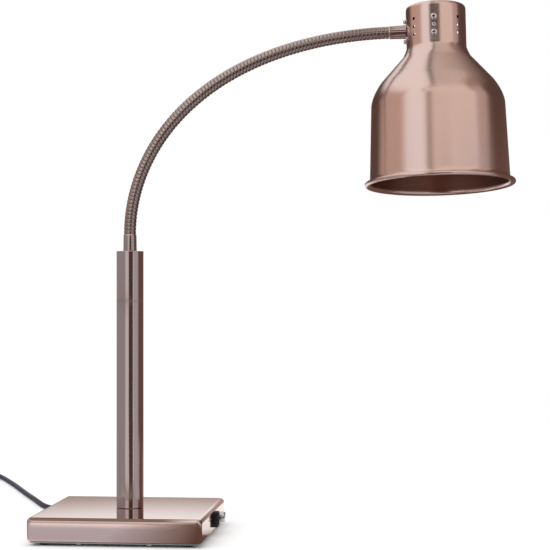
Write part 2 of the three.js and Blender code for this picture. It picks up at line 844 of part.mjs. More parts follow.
function holder_wire([x, y]) {
  const mouth = -neck_radius - seat_gap + spigot_length;
  const side = Math.sign(y) * (wire_radius + seat_gap);
  const turn = mouth + 3 * wire_radius;
  const above = holder_top + 3 * wire_radius;
  const curve = new THREE.CatmullRomCurve3([
    new THREE.Vector3(mouth - 3 * wire_radius, side, 0),
    new THREE.Vector3(mouth, side, 0),
    new THREE.Vector3(turn, 1.5 * side, 3 * wire_radius),
    new THREE.Vector3(turn, 2 * side, holder_top / 2),
    new THREE.Vector3(turn, 3 * side, holder_top),
    new THREE.Vector3((turn + x) / 2, y, above + wire_radius),
    new THREE.Vector3(x, y, above),
    new THREE.Vector3(x, y, holder_top - holder_roof / 2 + seat_gap),
  ]);
  return swept(curve, wire_radius, 6, 14);
}

function add_lampholder() {
  const screw = pan_screw(holder_screw_head, holder_screw_head_height, holder_screw_shank,
    strap_top + seat_gap - holder_top + holder_roof / 2);
  piece('lampholder', lampholder(), white_ceramic, head);
  piece('holder_screw', screw.translate(0, 0, strap_top + seat_gap), chrome, head);
  piece('screw_shell', pipe(shell_radius, shell_radius - shell_wall, shell_foot, shell_top), brass, head);
  piece('centre_contact', rod(contact_radius, shell_top - contact_height, shell_top), brass, head);
  piece('bulb_cap', bulb_cap(), brass, head);
  piece('bulb_skirt', bulb_skirt(), brass, head);
  piece('bulb_glass', bulb_glass(), red_glass, head);
  wire_places().forEach((place, i) => {
    piece(`holder_wire_${i + 1}`, holder_wire(place), white_plastic, head);
  });
}

// Switch and dimmer, on the right-hand wall

function switch_body() {
  const bezel_foot = control_z - bezel_height / 2;
  const bezel = block(bezel_stand, bezel_width, bezel_foot, bezel_foot + bezel_height,
    wall_x + seat_gap + bezel_stand / 2, switch_y);
  const case_foot = control_z - switch_height / 2;
  const case_end = wall_x + seat_gap + bezel_stand;
  const length = switch_depth + seat_gap + bezel_stand;
  const box = block(length, switch_width, case_foot, case_foot + switch_height,
    case_end - length / 2, switch_y);
  const pocket_foot = control_z - rocker_height / 2 - rocker_gap;
  const pocket = block(2 * rocker_stand, rocker_width + 2 * rocker_gap, pocket_foot,
    pocket_foot + rocker_height + 2 * rocker_gap, case_end, switch_y);
  return cut(join(bezel, box), pocket);
}

function switch_rocker() {
  const shape = new THREE.Shape();
  const half = rocker_height / 2;
  const back = -rocker_stand / 2;
  shape.moveTo(-half, 0);
  shape.lineTo(-half, rocker_edge_share * rocker_stand);
  shape.quadraticCurveTo(0, -rocker_dip_share * rocker_stand, half, rocker_edge_share * rocker_stand);
  shape.lineTo(half, 0);
  shape.lineTo(rocker_pivot_radius, back);
  shape.lineTo(-rocker_pivot_radius, back);
  shape.closePath();
  const solid = new THREE.ExtrudeGeometry(shape, {
    depth: rocker_width, bevelEnabled: false, curveSegments: 6,
  });
  return closed(solid.translate(0, 0, -rocker_width / 2).rotateX(Math.PI / 2).rotateY(Math.PI / 2));
}

function add_controls() {
  const pivot_x = wall_x + seat_gap + bezel_stand - rocker_sink_share * rocker_stand;
  piece('switch_body', switch_body(), black_plastic);
  const rocker = piece('switch_rocker', switch_rocker(), black_plastic);
  rocker.position.set(pivot_x, switch_y, control_z);
  rocker.rotation.y = rocker_tilt;

  const across = (geometry) => geometry.rotateY(Math.PI / 2).translate(wall_x, dimmer_y, control_z);
  const inside = -cover_sheet - seat_gap;
  const body = join(rod(dimmer_radius, inside - dimmer_depth, inside, round_sides),
    rod(dimmer_bush, inside - overrun, inside + dimmer_bush_length));
  const shaft_foot = inside - dimmer_depth / 2;
  const shaft_top = knob_stand - knob_wall - seat_gap;
  const bore = rod(dimmer_shaft + seat_gap, shaft_foot - seat_gap, inside + dimmer_bush_length + overrun);
  piece('dimmer_body', across(cut(body, bore)), black_plastic);
  piece('dimmer_nut', across(nut(dimmer_nut_flats, dimmer_bush + seat_gap, seat_gap,
    seat_gap + dimmer_nut_height)), steel);
  piece('dimmer_shaft', across(rod(dimmer_shaft, shaft_foot, shaft_top)), steel);
  piece('dimmer_knob', across(dimmer_knob(shaft_top)), chrome);
}

function dimmer_knob(shaft_top) {
  const foot = 2 * seat_gap;
  const skirt = knob_radius - knob_wall / 2;
  const sleeve_foot = seat_gap * 2 + dimmer_nut_height + dimmer_bush_length / 2;
  return turned([
    [0, knob_stand], [knob_radius - knob_wall / 2, knob_stand], [knob_radius, knob_stand - knob_wall / 2],
    [knob_radius, foot], [skirt, foot], [skirt, sleeve_foot], [dimmer_shaft + seat_gap, sleeve_foot],
    [dimmer_shaft + seat_gap, shaft_top + seat_gap], [0, shaft_top + seat_gap],
  ], round_sides);
}

// Wiring and the mains cord. These lengths and routes are as the cord lies on the table.

const cord_height = table + cord_radius;
const cord_exit_rise = cord_exit_z - cord_height;

// The free stretch from the strain relief to the coil: to the right and back of the exit, and
// up from where the cord lies on the table
const cord_route = [
  [0, -cord_inside, cord_exit_rise], [0, 11, cord_exit_rise], [0, 25, cord_exit_rise],
  [0, 35, 12.2], [-2.5, 46, 10.1], [-9, 56, 6.9], [-19, 64, 3.9], [-31, 70.5, 1.5],
  [-43, 77, 0.3], [-54, 85, 0], [-63, 95, 0], [-71, 107, 0], [-83, 131, 0], [-99.5, 168, 0],
  [-116, 204, 0], [-133.5, 242.5, 0], [-151.5, 283, 0], [-170, 324.5, 0], [-189, 365, 0],
  [-207, 402, 0], [-223.5, 433.5, 0.1], [-238.5, 458, 0.6], [-254.5, 478.5, 1], [-269, 493, 1.3],
  [-274, 498, 1.3],
];

function cord_point([right, back, rise]) {
  return new THREE.Vector3(cord_exit_x + right, wall_y + back, cord_height + rise);
}

function cord_stretch() {
  return swept(new THREE.CatmullRomCurve3(cord_route.map(cord_point)), cord_radius, cord_sides,
    cord_steps);
}

// The coil winds in on the table, climbs a layer in the half turn where it reverses, and
// winds out again on top
const coil_pitch = 2 * cord_radius + coil_turn_gap;
const coil_outer = coil_mid_radius + coil_pitch * (coil_loops - 0.5) / 4;
const coil_heading = coil_heading_share * Math.PI;
const coil_start = cord_point(cord_route[cord_route.length - 1]).setZ(0)
  .add(new THREE.Vector3(Math.cos(coil_heading), Math.sin(coil_heading), 0).multiplyScalar(3 * seat_gap));

function coil_point(turns) {
  const half = (coil_loops - 0.5) / 2;
  const inward = Math.min(turns, half);
  const outward = Math.max(turns - half - 0.5, 0);
  const climb = Math.min(Math.max((turns - half) / 0.5, 0), 1);
  const radius = coil_outer - coil_pitch * (inward - outward);
  const angle = coil_heading - Math.PI / 2 + 2 * Math.PI * turns;
  const rise = coil_pitch * climb * climb * (3 - 2 * climb);
  return new THREE.Vector3(radius * Math.cos(angle), radius * Math.sin(angle), rise);
}

const coil_centre = coil_start.clone().sub(coil_point(0)).setZ(cord_height + coil_lift);

function tube_rings(centres, radius, sides) {
  const up = new THREE.Vector3(0, 0, 1);
  return centres.map((centre, i) => {
    const before = centres[Math.max(i - 1, 0)];
    const after = centres[Math.min(i + 1, centres.length - 1)];
    const along = after.clone().sub(before).normalize();
    const side = new THREE.Vector3().crossVectors(up, along).normalize();
    const lift = new THREE.Vector3().crossVectors(along, side);
    return Array.from({ length: sides }, (_, n) => {
      const turn = (2 * Math.PI * (n + 0.5)) / sides;
      return centre.clone().addScaledVector(side, radius * Math.cos(turn))
        .addScaledVector(lift, radius * Math.sin(turn));
    });
  });
}

function capped_tube(rings) {
  const sides = rings[0].length;
  const geometry = new THREE.BufferGeometry().setFromPoints(rings.flat());
  const index = [];
  const last = (rings.length - 1) * sides;
  for (let row = 0; row < rings.length - 1; row += 1) {
    for (let i = 0; i < sides; i += 1) {
      const j = (i + 1) % sides;
      const [a, b] = [row * sides + i, row * sides + j];
      index.push(a, b, a + sides, b, b + sides, a + sides);
    }
  }
  for (let i = 1; i < sides - 1; i += 1) {
    index.push(0, i + 1, i, last, last + i, last + i + 1);
  }
  geometry.setIndex(index);
  return closed(geometry);
}

// The last stretch leaves the coil's top layer along its tangent and rises to the plug
const plug_axis = table + plug_radius;

function coil_centres() {
  const steps = Math.round(coil_loops * coil_loop_steps);
  return Array.from({ length: steps + 1 }, (_, i) =>
    coil_point((coil_loops * i) / steps).add(coil_centre));
}

function tail_centres(centres) {
  const end = centres[centres.length - 1];
  const along = end.clone().sub(centres[centres.length - 2]).setZ(0).normalize();
  const rise = plug_axis - end.z;
  return Array.from({ length: tail_steps }, (_, i) => {
    const share = (i + 1) / tail_steps;
    const eased = share * share * (3 - 2 * share);
    return end.clone().addScaledVector(along, tail_length * share).setZ(end.z + rise * eased);
  });
}

function least_gap(centres) {
  const near = Math.round(coil_loop_steps / 2);
  let least = Infinity;
  centres.forEach((one, i) => {
    for (let j = i + near; j < centres.length; j += 1) {
      least = Math.min(least, one.distanceTo(centres[j]) - 2 * cord_radius);
    }
  });
  return least;
}

function add_cord() {
  const relief = turned([
    [cord_radius + seat_gap, -cover_sheet - relief_flange_sheet],
    [relief_flange, -cover_sheet - relief_flange_sheet],
    [relief_flange, -cover_sheet - seat_gap], [relief_radius, -cover_sheet - seat_gap],
    [relief_radius, 0], [relief_tip, relief_length], [cord_radius + seat_gap, relief_length],
  ], round_sides);
  piece('strain_relief', relief.rotateX(-Math.PI / 2).translate(cord_exit_x, wall_y, cord_exit_z),
    black_rubber);

  const coil = coil_centres();
  const tail = tail_centres(coil);
  const whole = [...coil, ...tail];
  console.log('least gap between the coil turns, mm:', least_gap(whole).toFixed(2));
  piece('mains_cord', cord_stretch(), cord_plastic);
  piece('cord_coil', capped_tube(tube_rings(whole, cord_radius, coil_sides)), cord_plastic);
  piece('coil_tie', coil_tie(), black_plastic);
  add_plug(tail);
}

function coil_tie() {
  const half = (coil_loops - 0.5) / 2;
  const inner = coil_outer - coil_pitch * half - cord_radius - seat_gap;
  const outer = coil_outer + cord_radius + coil_pitch / 2 + seat_gap;
  const foot = table + coil_lift - seat_gap;
  const top = table + coil_lift + 2 * cord_radius + coil_pitch + seat_gap;
  const middle = (inner + outer) / 2;
  const span = outer - inner;
  const frame = cut(
    block(span + 2 * tie_sheet, tie_width, foot - tie_sheet, top + tie_sheet, middle, 0),
    block(span, tie_width + overrun, foot, top, middle, 0),
  );
  return frame.rotateZ(coil_heading + tie_turn_share * Math.PI).translate(coil_centre.x, coil_centre.y, 0);
}

function add_plug(tail) {
  const end = tail[tail.length - 1];
  const along = end.clone().sub(tail[tail.length - 2]).setZ(0).normalize();
  const plug = new THREE.Group();
  plug.position.copy(end).addScaledVector(along, seat_gap);
  plug.rotation.z = Math.atan2(along.y, along.x);
  lamp.add(plug);
  const far = plug_collar_length + plug_length;
  const body = turned([
    [0, 0], [relief_tip, 0], [plug_collar, plug_collar_length],
    [plug_shoulder_share * plug_radius, plug_collar_length + plug_chin],
    [plug_radius, plug_collar_length + plug_chin + plug_bevel], [plug_radius, far], [0, far],
  ], fine_sides - small_sides);
  const pins = [pin_spacing / 2, -pin_spacing / 2];
  const holes = pins.map((y) =>
    rod(pin_radius + seat_gap, far - pin_length / 2, far + overrun).translate(0, y, 0));
  piece('plug_body', cut(body, ...holes).rotateY(Math.PI / 2), black_plastic, plug);
  pins.forEach((y, i) => {
    const pin = turned([[0, far - pin_length / 2 + seat_gap], [pin_radius, far - pin_length / 2 + seat_gap],
      [pin_radius, far + pin_length - pin_radius], [pin_radius / 2, far + pin_length],
      [0, far + pin_length]], small_sides);
    piece(`plug_pin_${i + 1}`, pin.translate(0, y, 0).rotateY(Math.PI / 2), steel, plug);
  });
}

function add_wiring() {
  const shelf = ballast_top + seat_gap;
  piece('terminal_block', block(terminal_width, terminal_depth, shelf, shelf + terminal_height,
    terminal_x, terminal_y), white_plastic);
  const start = new THREE.Vector3(cord_exit_x, wall_y - cord_inside - seat_gap, cord_exit_z);
  const end = new THREE.Vector3(terminal_x, terminal_y + terminal_depth / 2 + seat_gap, terminal_mid);
  const straight = new THREE.Vector3(0, 3 * cord_radius, 0);
  const rise = new THREE.Vector3(start.x, (start.y + end.y) / 2 + cord_radius, terminal_mid);
  const tail = [start, start.clone().sub(straight), rise, end.clone().add(straight), end];
  piece('mains_tail', swept(new THREE.CatmullRomCurve3(tail), cord_radius, 8, 12), cord_plastic);
}

function lamp_lead() {
  const start = new THREE.Vector3(terminal_x + terminal_width / 4,
    terminal_y - terminal_depth / 2 - seat_gap, terminal_mid);
  const straight = start.clone().setY(start.y - 2 * lead_radius);
  const edge = new THREE.Vector3(-ballast_hole, 0, ballast_top + 2 * lead_radius);
  const well = lead_well_shares.map(([out, down]) =>
    new THREE.Vector3(-out * ballast_hole, 0, ballast_top - down * lead_radius));
  const inside = [start, straight, straight.clone().lerp(edge, 0.5), edge, ...well,
    new THREE.Vector3(0, 0, stud_foot)];
  const up = lead_post_shares.map((share) =>
    new THREE.Vector3(0, 0, post_foot + share * post_length));
  const along = [];
  for (let rib = 0; rib <= ribs; rib += ribs_per_lead_point) along.push(grooves[rib].clone());
  const tip = direction(bend_angle);
  const end = grooves[ribs].clone().addScaledVector(tip, ferrule_length + spigot_length / 2);
  const curve = new THREE.CatmullRomCurve3([...inside, ...up, ...along, end]);
  return swept(curve, lead_radius, lead_sides, lead_steps);
}

add_base();
add_post();
add_gooseneck();
add_shade();
add_lampholder();
add_controls();
add_wiring();
add_cord();
piece('lamp_lead', lamp_lead(), white_plastic);

// The head turns with the hose's end, and rolls a little about the arm
const reach = ferrule_length + seat_gap + neck_radius;
arm_end.position.copy(grooves[ribs]).addScaledVector(direction(bend_angle), reach);
arm_end.rotation.y = bend_angle - Math.PI / 2;
head.rotation.x = head_roll;
arm_end.add(head);
lamp.add(arm_end);

export default lamp;
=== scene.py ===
from math import atan2, copysign, cos, degrees, pi, radians, sin

import bmesh
import bpy
from mathutils import Matrix, Vector


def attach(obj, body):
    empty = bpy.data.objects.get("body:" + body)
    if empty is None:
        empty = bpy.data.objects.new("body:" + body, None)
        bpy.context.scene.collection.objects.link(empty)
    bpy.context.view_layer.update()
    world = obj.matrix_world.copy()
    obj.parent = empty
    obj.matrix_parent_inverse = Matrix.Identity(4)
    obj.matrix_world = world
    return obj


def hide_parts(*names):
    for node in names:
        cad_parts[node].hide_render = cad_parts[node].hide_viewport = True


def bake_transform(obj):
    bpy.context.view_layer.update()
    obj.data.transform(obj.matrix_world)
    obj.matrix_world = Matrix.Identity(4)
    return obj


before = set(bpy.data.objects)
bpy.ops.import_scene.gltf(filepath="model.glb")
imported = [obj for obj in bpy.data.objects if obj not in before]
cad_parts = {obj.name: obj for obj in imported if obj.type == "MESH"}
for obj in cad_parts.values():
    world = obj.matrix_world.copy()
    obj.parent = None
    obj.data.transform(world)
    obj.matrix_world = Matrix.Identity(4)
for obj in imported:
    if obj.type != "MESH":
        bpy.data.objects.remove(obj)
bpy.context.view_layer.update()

# Lengths are in millimetres, as in the part's source, and scaled once where a mesh is made.
MM = 0.001
HERE = Matrix.Identity(4)
GAP = 0.3  # between pieces that sit on each other

# Base
BASE_WIDTH, BASE_DEPTH = 200.0, 198.0
COVER_FOOT, COVER_TOP, COVER_SHEET = 2.5, 29.5, 1.5
TOP_BEND, FOOT_BEND, COVER_CORNER, COVER_LIP = 5.0, 3.0, 6.0, 5.0
TABLE = -2.2
PLATE_FOOT, PLATE_TOP = 1.0, 2.2
FOOT_X, FOOT_Y = 0.405 * BASE_WIDTH, 0.405 * BASE_DEPTH
PLATE_SCREW_X, PLATE_SCREW_Y = 40.0, BASE_DEPTH / 2 - COVER_LIP
WALL_X, WALL_Y = BASE_WIDTH / 2, BASE_DEPTH / 2
STUD_RADIUS = 5.0

# Post and gooseneck
POST_RADIUS, POST_BORE = 16.0, 14.5
POST_FOOT, POST_TOP = 29.8, 332.3
FERRULE_LENGTH, SPIGOT_LENGTH, SPIGOT_RADIUS = 20.0, 9.0, 5.0
HOSE_FOOT = POST_TOP + GAP + FERRULE_LENGTH
HOSE_RADIUS, HOSE_GROOVE, HOSE_BORE, HOSE_END_RADIUS = 7.1, 6.35, 2.95, 6.3
HOSE_END_LENGTH = 13.0
RIB_PITCH, SEGMENTS, SEGMENT_RIBS = 4.44, 8, 12
RIBS = SEGMENTS * SEGMENT_RIBS
BEND, BEND_SWELL = radians(88.6), 0.141

# Shade, in a frame with the arm's axis at height zero
NECK_RADIUS, NECK_TOP, NECK_FOOT, NECK_FILLET = 34.6, 28.2, -20.0, 5.0
SHOULDER_RADIUS, SHOULDER_FOOT = 77.2, -90.0
BODY_RADIUS, BODY_FOOT = 80.3, -172.8
RIM_RADIUS, RIM_FOOT, BEAD = 86.8, -181.4, 2.6
SHADE_SHEET = 1.2
HEAD_ROLL = radians(-3.8)
FRONT_ROWS = (8.2, -0.8, -10.0)
FRONT_AZIMUTH = radians(-4.5)
VENT_ROWS = (9.6, 0.4, -8.6)
VENT_COLUMNS = ((-47.5, 0.0), (45.5, 0.0), (131.5, 2.0), (-134.0, 3.3))
ARM_SCREW_REACH = 11.8

# Controls
CONTROL_Z, SWITCH_Y, DIMMER_Y = 16.1, 5.0, 22.0

# Cord
CORD_RADIUS, RELIEF_LENGTH = 3.5, 24.0
CORD_EXIT_X, CORD_EXIT_Z = -84.0, 14.0
PLUG_RADIUS = 18.4

scene = bpy.context.scene


def link(name, data):
    obj = bpy.data.objects.new(name, data)
    scene.collection.objects.link(obj)
    return obj


def move(x, y, z):
    return Matrix.Translation((x, y, z))


def spin(angle, axis):
    return Matrix.Rotation(angle, 4, axis)


# Camera: level, with the picture shifted instead, so that uprights stay upright

PICTURE, FOCAL, SHIFT = 550.0, 1520.0, 26.0  # pixels
CAMERA_PLACE, CAMERA_TURN = (0.3432, -1.7743, 0.2735), radians(5.5)


def make_camera():
    data = bpy.data.cameras.new("camera")
    data.sensor_width = 36.0
    data.lens = FOCAL / PICTURE * data.sensor_width
    data.shift_y = SHIFT / PICTURE
    camera = link("camera", data)
    camera.location = CAMERA_PLACE
    camera.rotation_euler = (radians(90), 0.0, CAMERA_TURN)
    scene.camera = camera


make_camera()


# Materials

def feed(node, sockets):
    """Each socket takes another node's output (its first, if a node is given) or a constant."""
    for socket, value in sockets.items():
        if isinstance(value, bpy.types.Node):
            value = value.outputs[0]
        if isinstance(value, bpy.types.NodeSocket):
            node.id_data.links.new(value, node.inputs[socket])
        else:
            node.inputs[socket].default_value = value


def add(tree, kind, sockets=None, **fields):
    """A new shader node with its fields set and its sockets fed."""
    node = tree.nodes.new("ShaderNode" + kind)
    for field, value in fields.items():
        setattr(node, field, value)
    feed(node, sockets or {})
    return node


def calc(tree, operation, one, two):
    return add(tree, "Math", {0: one, 1: two}, operation=operation)


def new_material(name):
    material = bpy.data.materials.new(name)
    material.use_nodes = True
    return material, material.node_tree


def surface(name, colour, metallic=0.0, roughness=0.4, grain=900, turn=(0, 0, 0), tint=0.05,
            wear=0.05, bump=0.1, depth=0.0001, cloud=25.0, spun=False, **sockets):
    """A material whose fine grain drives roughness, bump and a little of the colour."""
    material, tree = new_material(name)
    shader = tree.nodes["Principled BSDF"]
    feed(shader, {socket.replace("_", " "): value for socket, value in sockets.items()})
    if spun:
        around = add(tree, "Tangent", direction_type="RADIAL", axis="Z")
        feed(shader, {"Tangent": around})

    place = add(tree, "TexCoord").outputs["Object"]
    mapping = add(tree, "Mapping", {"Rotation": turn, "Vector": place}, vector_type="TEXTURE")
    each_way = grain if isinstance(grain, tuple) else (grain, grain, grain)
    stretch = add(tree, "VectorMath", {0: mapping, 1: each_way}, operation="MULTIPLY")
    fine = add(tree, "TexNoise", {"Vector": stretch, "Scale": 1.0, "Detail": 5.0,
                                  "Roughness": 0.65})
    broad = add(tree, "TexNoise", {"Vector": place, "Scale": cloud, "Detail": 2.0})

    mean = calc(tree, "MULTIPLY", calc(tree, "ADD", fine, broad), 0.5)
    ramp = add(tree, "ValToRGB", {"Fac": mean})
    low, high = ramp.color_ramp.elements
    low.position, high.position = 0.25, 0.75
    low.color = [c * (1 - tint) for c in colour] + [1]
    high.color = [min(c * (1 + tint), 1) for c in colour] + [1]

    rough = add(tree, "MapRange", {"Value": fine, "From Min": 0.3, "From Max": 0.7,
                                   "To Min": max(roughness - wear, 0.02),
                                   "To Max": roughness + wear})
    relief = add(tree, "Bump", {"Height": fine, "Strength": bump, "Distance": depth})
    feed(shader, {"Metallic": metallic, "Base Color": ramp, "Roughness": rough, "Normal": relief})
    return material


COPPER = (0.74, 0.555, 0.505)
# Turns the grain with the head, whose axis it has to follow
head_turn = (HEAD_ROLL, BEND - pi / 2, 0)
look = {
    "cover": surface("cover_metal", COPPER, 1.0, 0.08, (40, 900, 900), tint=0.02, wear=0.02,
                     bump=0.006),
    "post": surface("post_metal", (0.65, 0.52, 0.495), 1.0, 0.12, (1100, 1100, 12), tint=0.03,
                    wear=0.03, bump=0.01),
    "spun": surface("spun_metal", COPPER, 1.0, 0.23, (12, 12, 1400), head_turn, tint=0.02,
                    wear=0.012, bump=0.002, depth=0.00008, spun=True, Anisotropic=0.5,
                    Anisotropic_Rotation=0.25),
    # Painted shade: the bell's inner wall is the same spun copper, coloured darker for the shade
    # inside it
    "inside": surface("spun_inside_painted_shade", (0.50, 0.30, 0.235), 1.0, 0.33, (12, 12, 900), head_turn,
                      tint=0.06, bump=0.15),
    "hose": surface("hose_metal", (0.43, 0.35, 0.33), 1.0, 0.18, 300, bump=0.02),
    "ferrule": surface("ferrule_metal", (0.60, 0.475, 0.45), 1.0, 0.16, (900, 900, 60), tint=0.03,
                       wear=0.03, bump=0.01),
    "steel": surface("bracket_steel", (0.56, 0.55, 0.54), 1.0, 0.32, (60, 1500, 900), tint=0.06),
    "raw_steel": surface("plated_steel", (0.42, 0.41, 0.40), 0.9, 0.5, 260, tint=0.16, wear=0.12,
                         bump=0.2, cloud=60.0),
    "bright": surface("bright_plating", (0.68, 0.68, 0.71), 1.0, 0.15, 700, tint=0.03, bump=0.05),
    "brass": surface("cap_brass", (0.70, 0.52, 0.22), 1.0, 0.28, 800, tint=0.08),
    "rubber": surface("foot_rubber", (0.014, 0.015, 0.017), 0.0, 0.75, 1600, tint=0.3, wear=0.1,
                      bump=0.4, depth=0.0002),
    "black": surface("moulded_black", (0.012, 0.012, 0.013), 0.0, 0.4, 2200, tint=0.2, wear=0.08,
                     bump=0.25),
    "gloss_black": surface("rocker_black", (0.010, 0.010, 0.011), 0.0, 0.2, 1500, tint=0.2,
                           bump=0.08),
    "cord": surface("cord_sheath", (0.022, 0.027, 0.055), 0.0, 0.45, 900, tint=0.2, wear=0.08,
                    bump=0.15, depth=0.00015),
    "white": surface("white_plastic", (0.72, 0.72, 0.70), 0.0, 0.45),
    "ceramic": surface("glazed_ceramic", (0.74, 0.72, 0.66), 0.0, 0.25, 300, tint=0.06,
                       Coat_Weight=0.5, Coat_Roughness=0.08),
    "glass": surface("ruby_glass", (0.42, 0.02, 0.012), 0.0, 0.12, 350, tint=0.12, bump=0.05,
                     Coat_Weight=1.0, Coat_Roughness=0.04),
    "mirror": surface("silvered_glass", (0.80, 0.79, 0.77), 1.0, 0.12, 350, tint=0.04, bump=0.05,
                      Coat_Weight=1.0, Coat_Roughness=0.04),
}


# Mesh helpers

EDGE = 32  # degrees from which an edge is shaded sharp


def set_smooth(mesh, edge):
    mesh.shade_smooth()
    mesh.set_sharp_from_angle(angle=radians(edge))


def clean(mesh):
    """Joins points that meet and turns the faces outwards."""
    work = bmesh.new()
    work.from_mesh(mesh)
    bmesh.ops.remove_doubles(work, verts=work.verts, dist=1e-7)
    bmesh.ops.recalc_face_normals(work, faces=work.faces)
    work.to_mesh(mesh)
    work.free()


def build(name, skin_parts, material, place=HERE, edge=EDGE):
    """An object from (verts, faces) in millimetres."""
    verts, faces = skin_parts
    mesh = bpy.data.meshes.new(name)
    mesh.from_pydata([(place @ Vector(v)) * MM for v in verts], [], faces)
    clean(mesh)
    mesh.materials.append(look[material])
    set_smooth(mesh, edge)
    return link(name, mesh)


def install(obj, body, nodes):
    """The piece rides on its body and stands for its CAD nodes."""
    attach(obj, body)
    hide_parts(*nodes)
    return obj


def skin(rings, loop=False):
    """Faces over rings taken in order; a ring of one point is a pole."""
    verts, faces, starts = [], [], []
    for ring in rings:
        starts.append(len(verts))
        verts.extend(ring)
    pairs = list(zip(range(len(rings) - 1), range(1, len(rings))))
    if loop:
        pairs.append((len(rings) - 1, 0))
    for low, high in pairs:
        a, b = starts[low], starts[high]
        count = max(len(rings[low]), len(rings[high]))
        for i in range(count):
            j = (i + 1) % count
            if len(rings[low]) == 1:
                faces.append((a, b + j, b + i))
            elif len(rings[high]) == 1:
                faces.append((a + i, a + j, b))
            else:
                faces.append((a + i, a + j, b + j, b + i))
    if not loop:
        for ring, start in ((rings[0], starts[0]), (rings[-1], starts[-1])):
            if len(ring) > 1:
                faces.append(tuple(range(start, start + len(ring))))
    return verts, faces


def circle(radius, z, sides):
    turn = 2 * pi / sides
    return [Vector((radius * cos(i * turn), radius * sin(i * turn), z))
            for i in range(sides)]


def lathe(outline, sides, loop=False):
    """Faces round the Z axis over an outline of (radius, height)."""
    rings = [[Vector((0, 0, z))] if r < 1e-6 else circle(r, z, sides) for r, z in outline]
    return skin(rings, loop)


def quadratic(start, middle, end, steps):
    start, middle, end = Vector(start), Vector(middle), Vector(end)
    out = []
    for i in range(1, steps + 1):
        t = i / steps
        out.append(tuple((1 - t) ** 2 * start + 2 * t * (1 - t) * middle + t * t * end))
    return out


def straight(start, end, steps):
    start, end = Vector(start), Vector(end)
    return [tuple(start.lerp(end, i / steps)) for i in range(1, steps + 1)]


def soften(points, radius, steps=4):
    """The outline with its inner corners rounded."""
    out = [points[0]]
    for before, corner, after in zip(points, points[1:], points[2:]):
        middle = Vector(corner)
        one, two = Vector(before) - middle, Vector(after) - middle
        reach = min(radius, 0.45 * one.length, 0.45 * two.length)
        start, end = middle + one.normalized() * reach, middle + two.normalized() * reach
        out += [tuple(start)] + quadratic(start, middle, end, steps)
    return out + [points[-1]]


def soften_loop(points, radius, steps=4):
    """The closed outline with every corner rounded."""
    around = [points[-1]] + list(points) + [points[0]]
    return soften(around, radius, steps)[1:-1]


def rounded_loop(width, depth, corner, z, steps=8):
    """A rounded rectangle of points at one height."""
    points = []
    for quarter, (i, j) in enumerate(((1, 1), (-1, 1), (-1, -1), (1, -1))):
        for step in range(steps + 1):
            angle = radians(90) * (quarter + step / steps)
            points.append(Vector((i * (width / 2 - corner) + corner * cos(angle),
                                  j * (depth / 2 - corner) + corner * sin(angle), z)))
    return points


def apply_modifiers(obj, edge=EDGE):
    bpy.context.view_layer.update()
    graph = bpy.context.evaluated_depsgraph_get()
    mesh = bpy.data.meshes.new_from_object(obj.evaluated_get(graph))
    obj.modifiers.clear()
    obj.data = mesh
    clean(mesh)
    set_smooth(mesh, edge)


def carve(obj, cutters, edge=EDGE):
    """Cuts the cutters out of the piece and removes them."""
    group = bpy.data.collections.new("cutters")
    for cutter in cutters:
        scene.collection.objects.unlink(cutter)
        group.objects.link(cutter)
    scene.collection.children.link(group)
    cut = obj.modifiers.new("cut", "BOOLEAN")
    cut.operation = "DIFFERENCE"
    cut.operand_type = "COLLECTION"
    cut.collection = group
    cut.solver = "EXACT"
    apply_modifiers(obj, edge)
    for cutter in cutters:
        bpy.data.objects.remove(cutter)
    bpy.data.collections.remove(group)


def bar(radius, low, high, place, sides=40):
    """A round cutter."""
    return build("cutter", lathe([(0, low), (radius, low), (radius, high), (0, high)], sides),
                 "black", place)


def box_parts(width, depth, low, high, corner=0.0):
    if corner:
        return skin([rounded_loop(width, depth, corner, z) for z in (low, high)])
    x, y = width / 2, depth / 2
    loop = [(-x, -y), (x, -y), (x, y), (-x, y)]
    return skin([[Vector((a, b, z)) for a, b in loop] for z in (low, high)])


def block(place, *sizes):
    """A square cutter."""
    return build("cutter", box_parts(*sizes), "black", place)


def bevel(obj, width, segments):
    mod = obj.modifiers.new("bevel", "BEVEL")
    mod.width = width * MM
    mod.segments = segments
    mod.limit_method = "ANGLE"
    mod.angle_limit = radians(35)
    apply_modifiers(obj)


def turn_to(axis, where=(0, 0, 0)):
    """A place whose +Z points along the axis."""
    rotation = Vector((0, 0, 1)).rotation_difference(Vector(axis)).to_matrix().to_4x4()
    return Matrix.Translation(where) @ rotation


def catmull(points, steps):
    """Centripetal Catmull-Rom points through the given ones."""
    points = [Vector(p) for p in points]
    ends = [2 * points[0] - points[1]] + points + [2 * points[-1] - points[-2]]
    out = []
    for a, b, c, d in zip(ends, ends[1:], ends[2:], ends[3:]):
        knots = [0.0]
        for one, two in ((a, b), (b, c), (c, d)):
            knots.append(knots[-1] + max((two - one).length, 1e-6) ** 0.5)
        for i in range(steps):
            t = knots[1] + (knots[2] - knots[1]) * i / steps
            layer = [a, b, c, d]
            for level in (1, 2, 3):
                nexts = []
                for k in range(len(layer) - 1):
                    lo, hi = (k, k + level) if level < 3 else (1, 2)
                    share = (t - knots[lo]) / (knots[hi] - knots[lo])
                    nexts.append(layer[k] * (1 - share) + layer[k + 1] * share)
                layer = nexts
            out.append(layer[0])
    out.append(points[-1])
    return out


def ring_round(centre, radius, side, lift, sides):
    """A ring in the plane of two directions."""
    return [centre + radius * (cos(2 * pi * i / sides) * side
                               + sin(2 * pi * i / sides) * lift) for i in range(sides)]


def tube_rings(centres, radius, sides):
    """Rings round a path, carried along it without twist."""
    along = [(centres[min(i + 1, len(centres) - 1)] - centres[max(i - 1, 0)]).normalized()
             for i in range(len(centres))]
    side = along[0].orthogonal().normalized()
    rings = []
    for centre, way in zip(centres, along):
        side = (side - way * side.dot(way)).normalized()
        rings.append(ring_round(centre, radius, side, way.cross(side), sides))
    return rings


# Cord

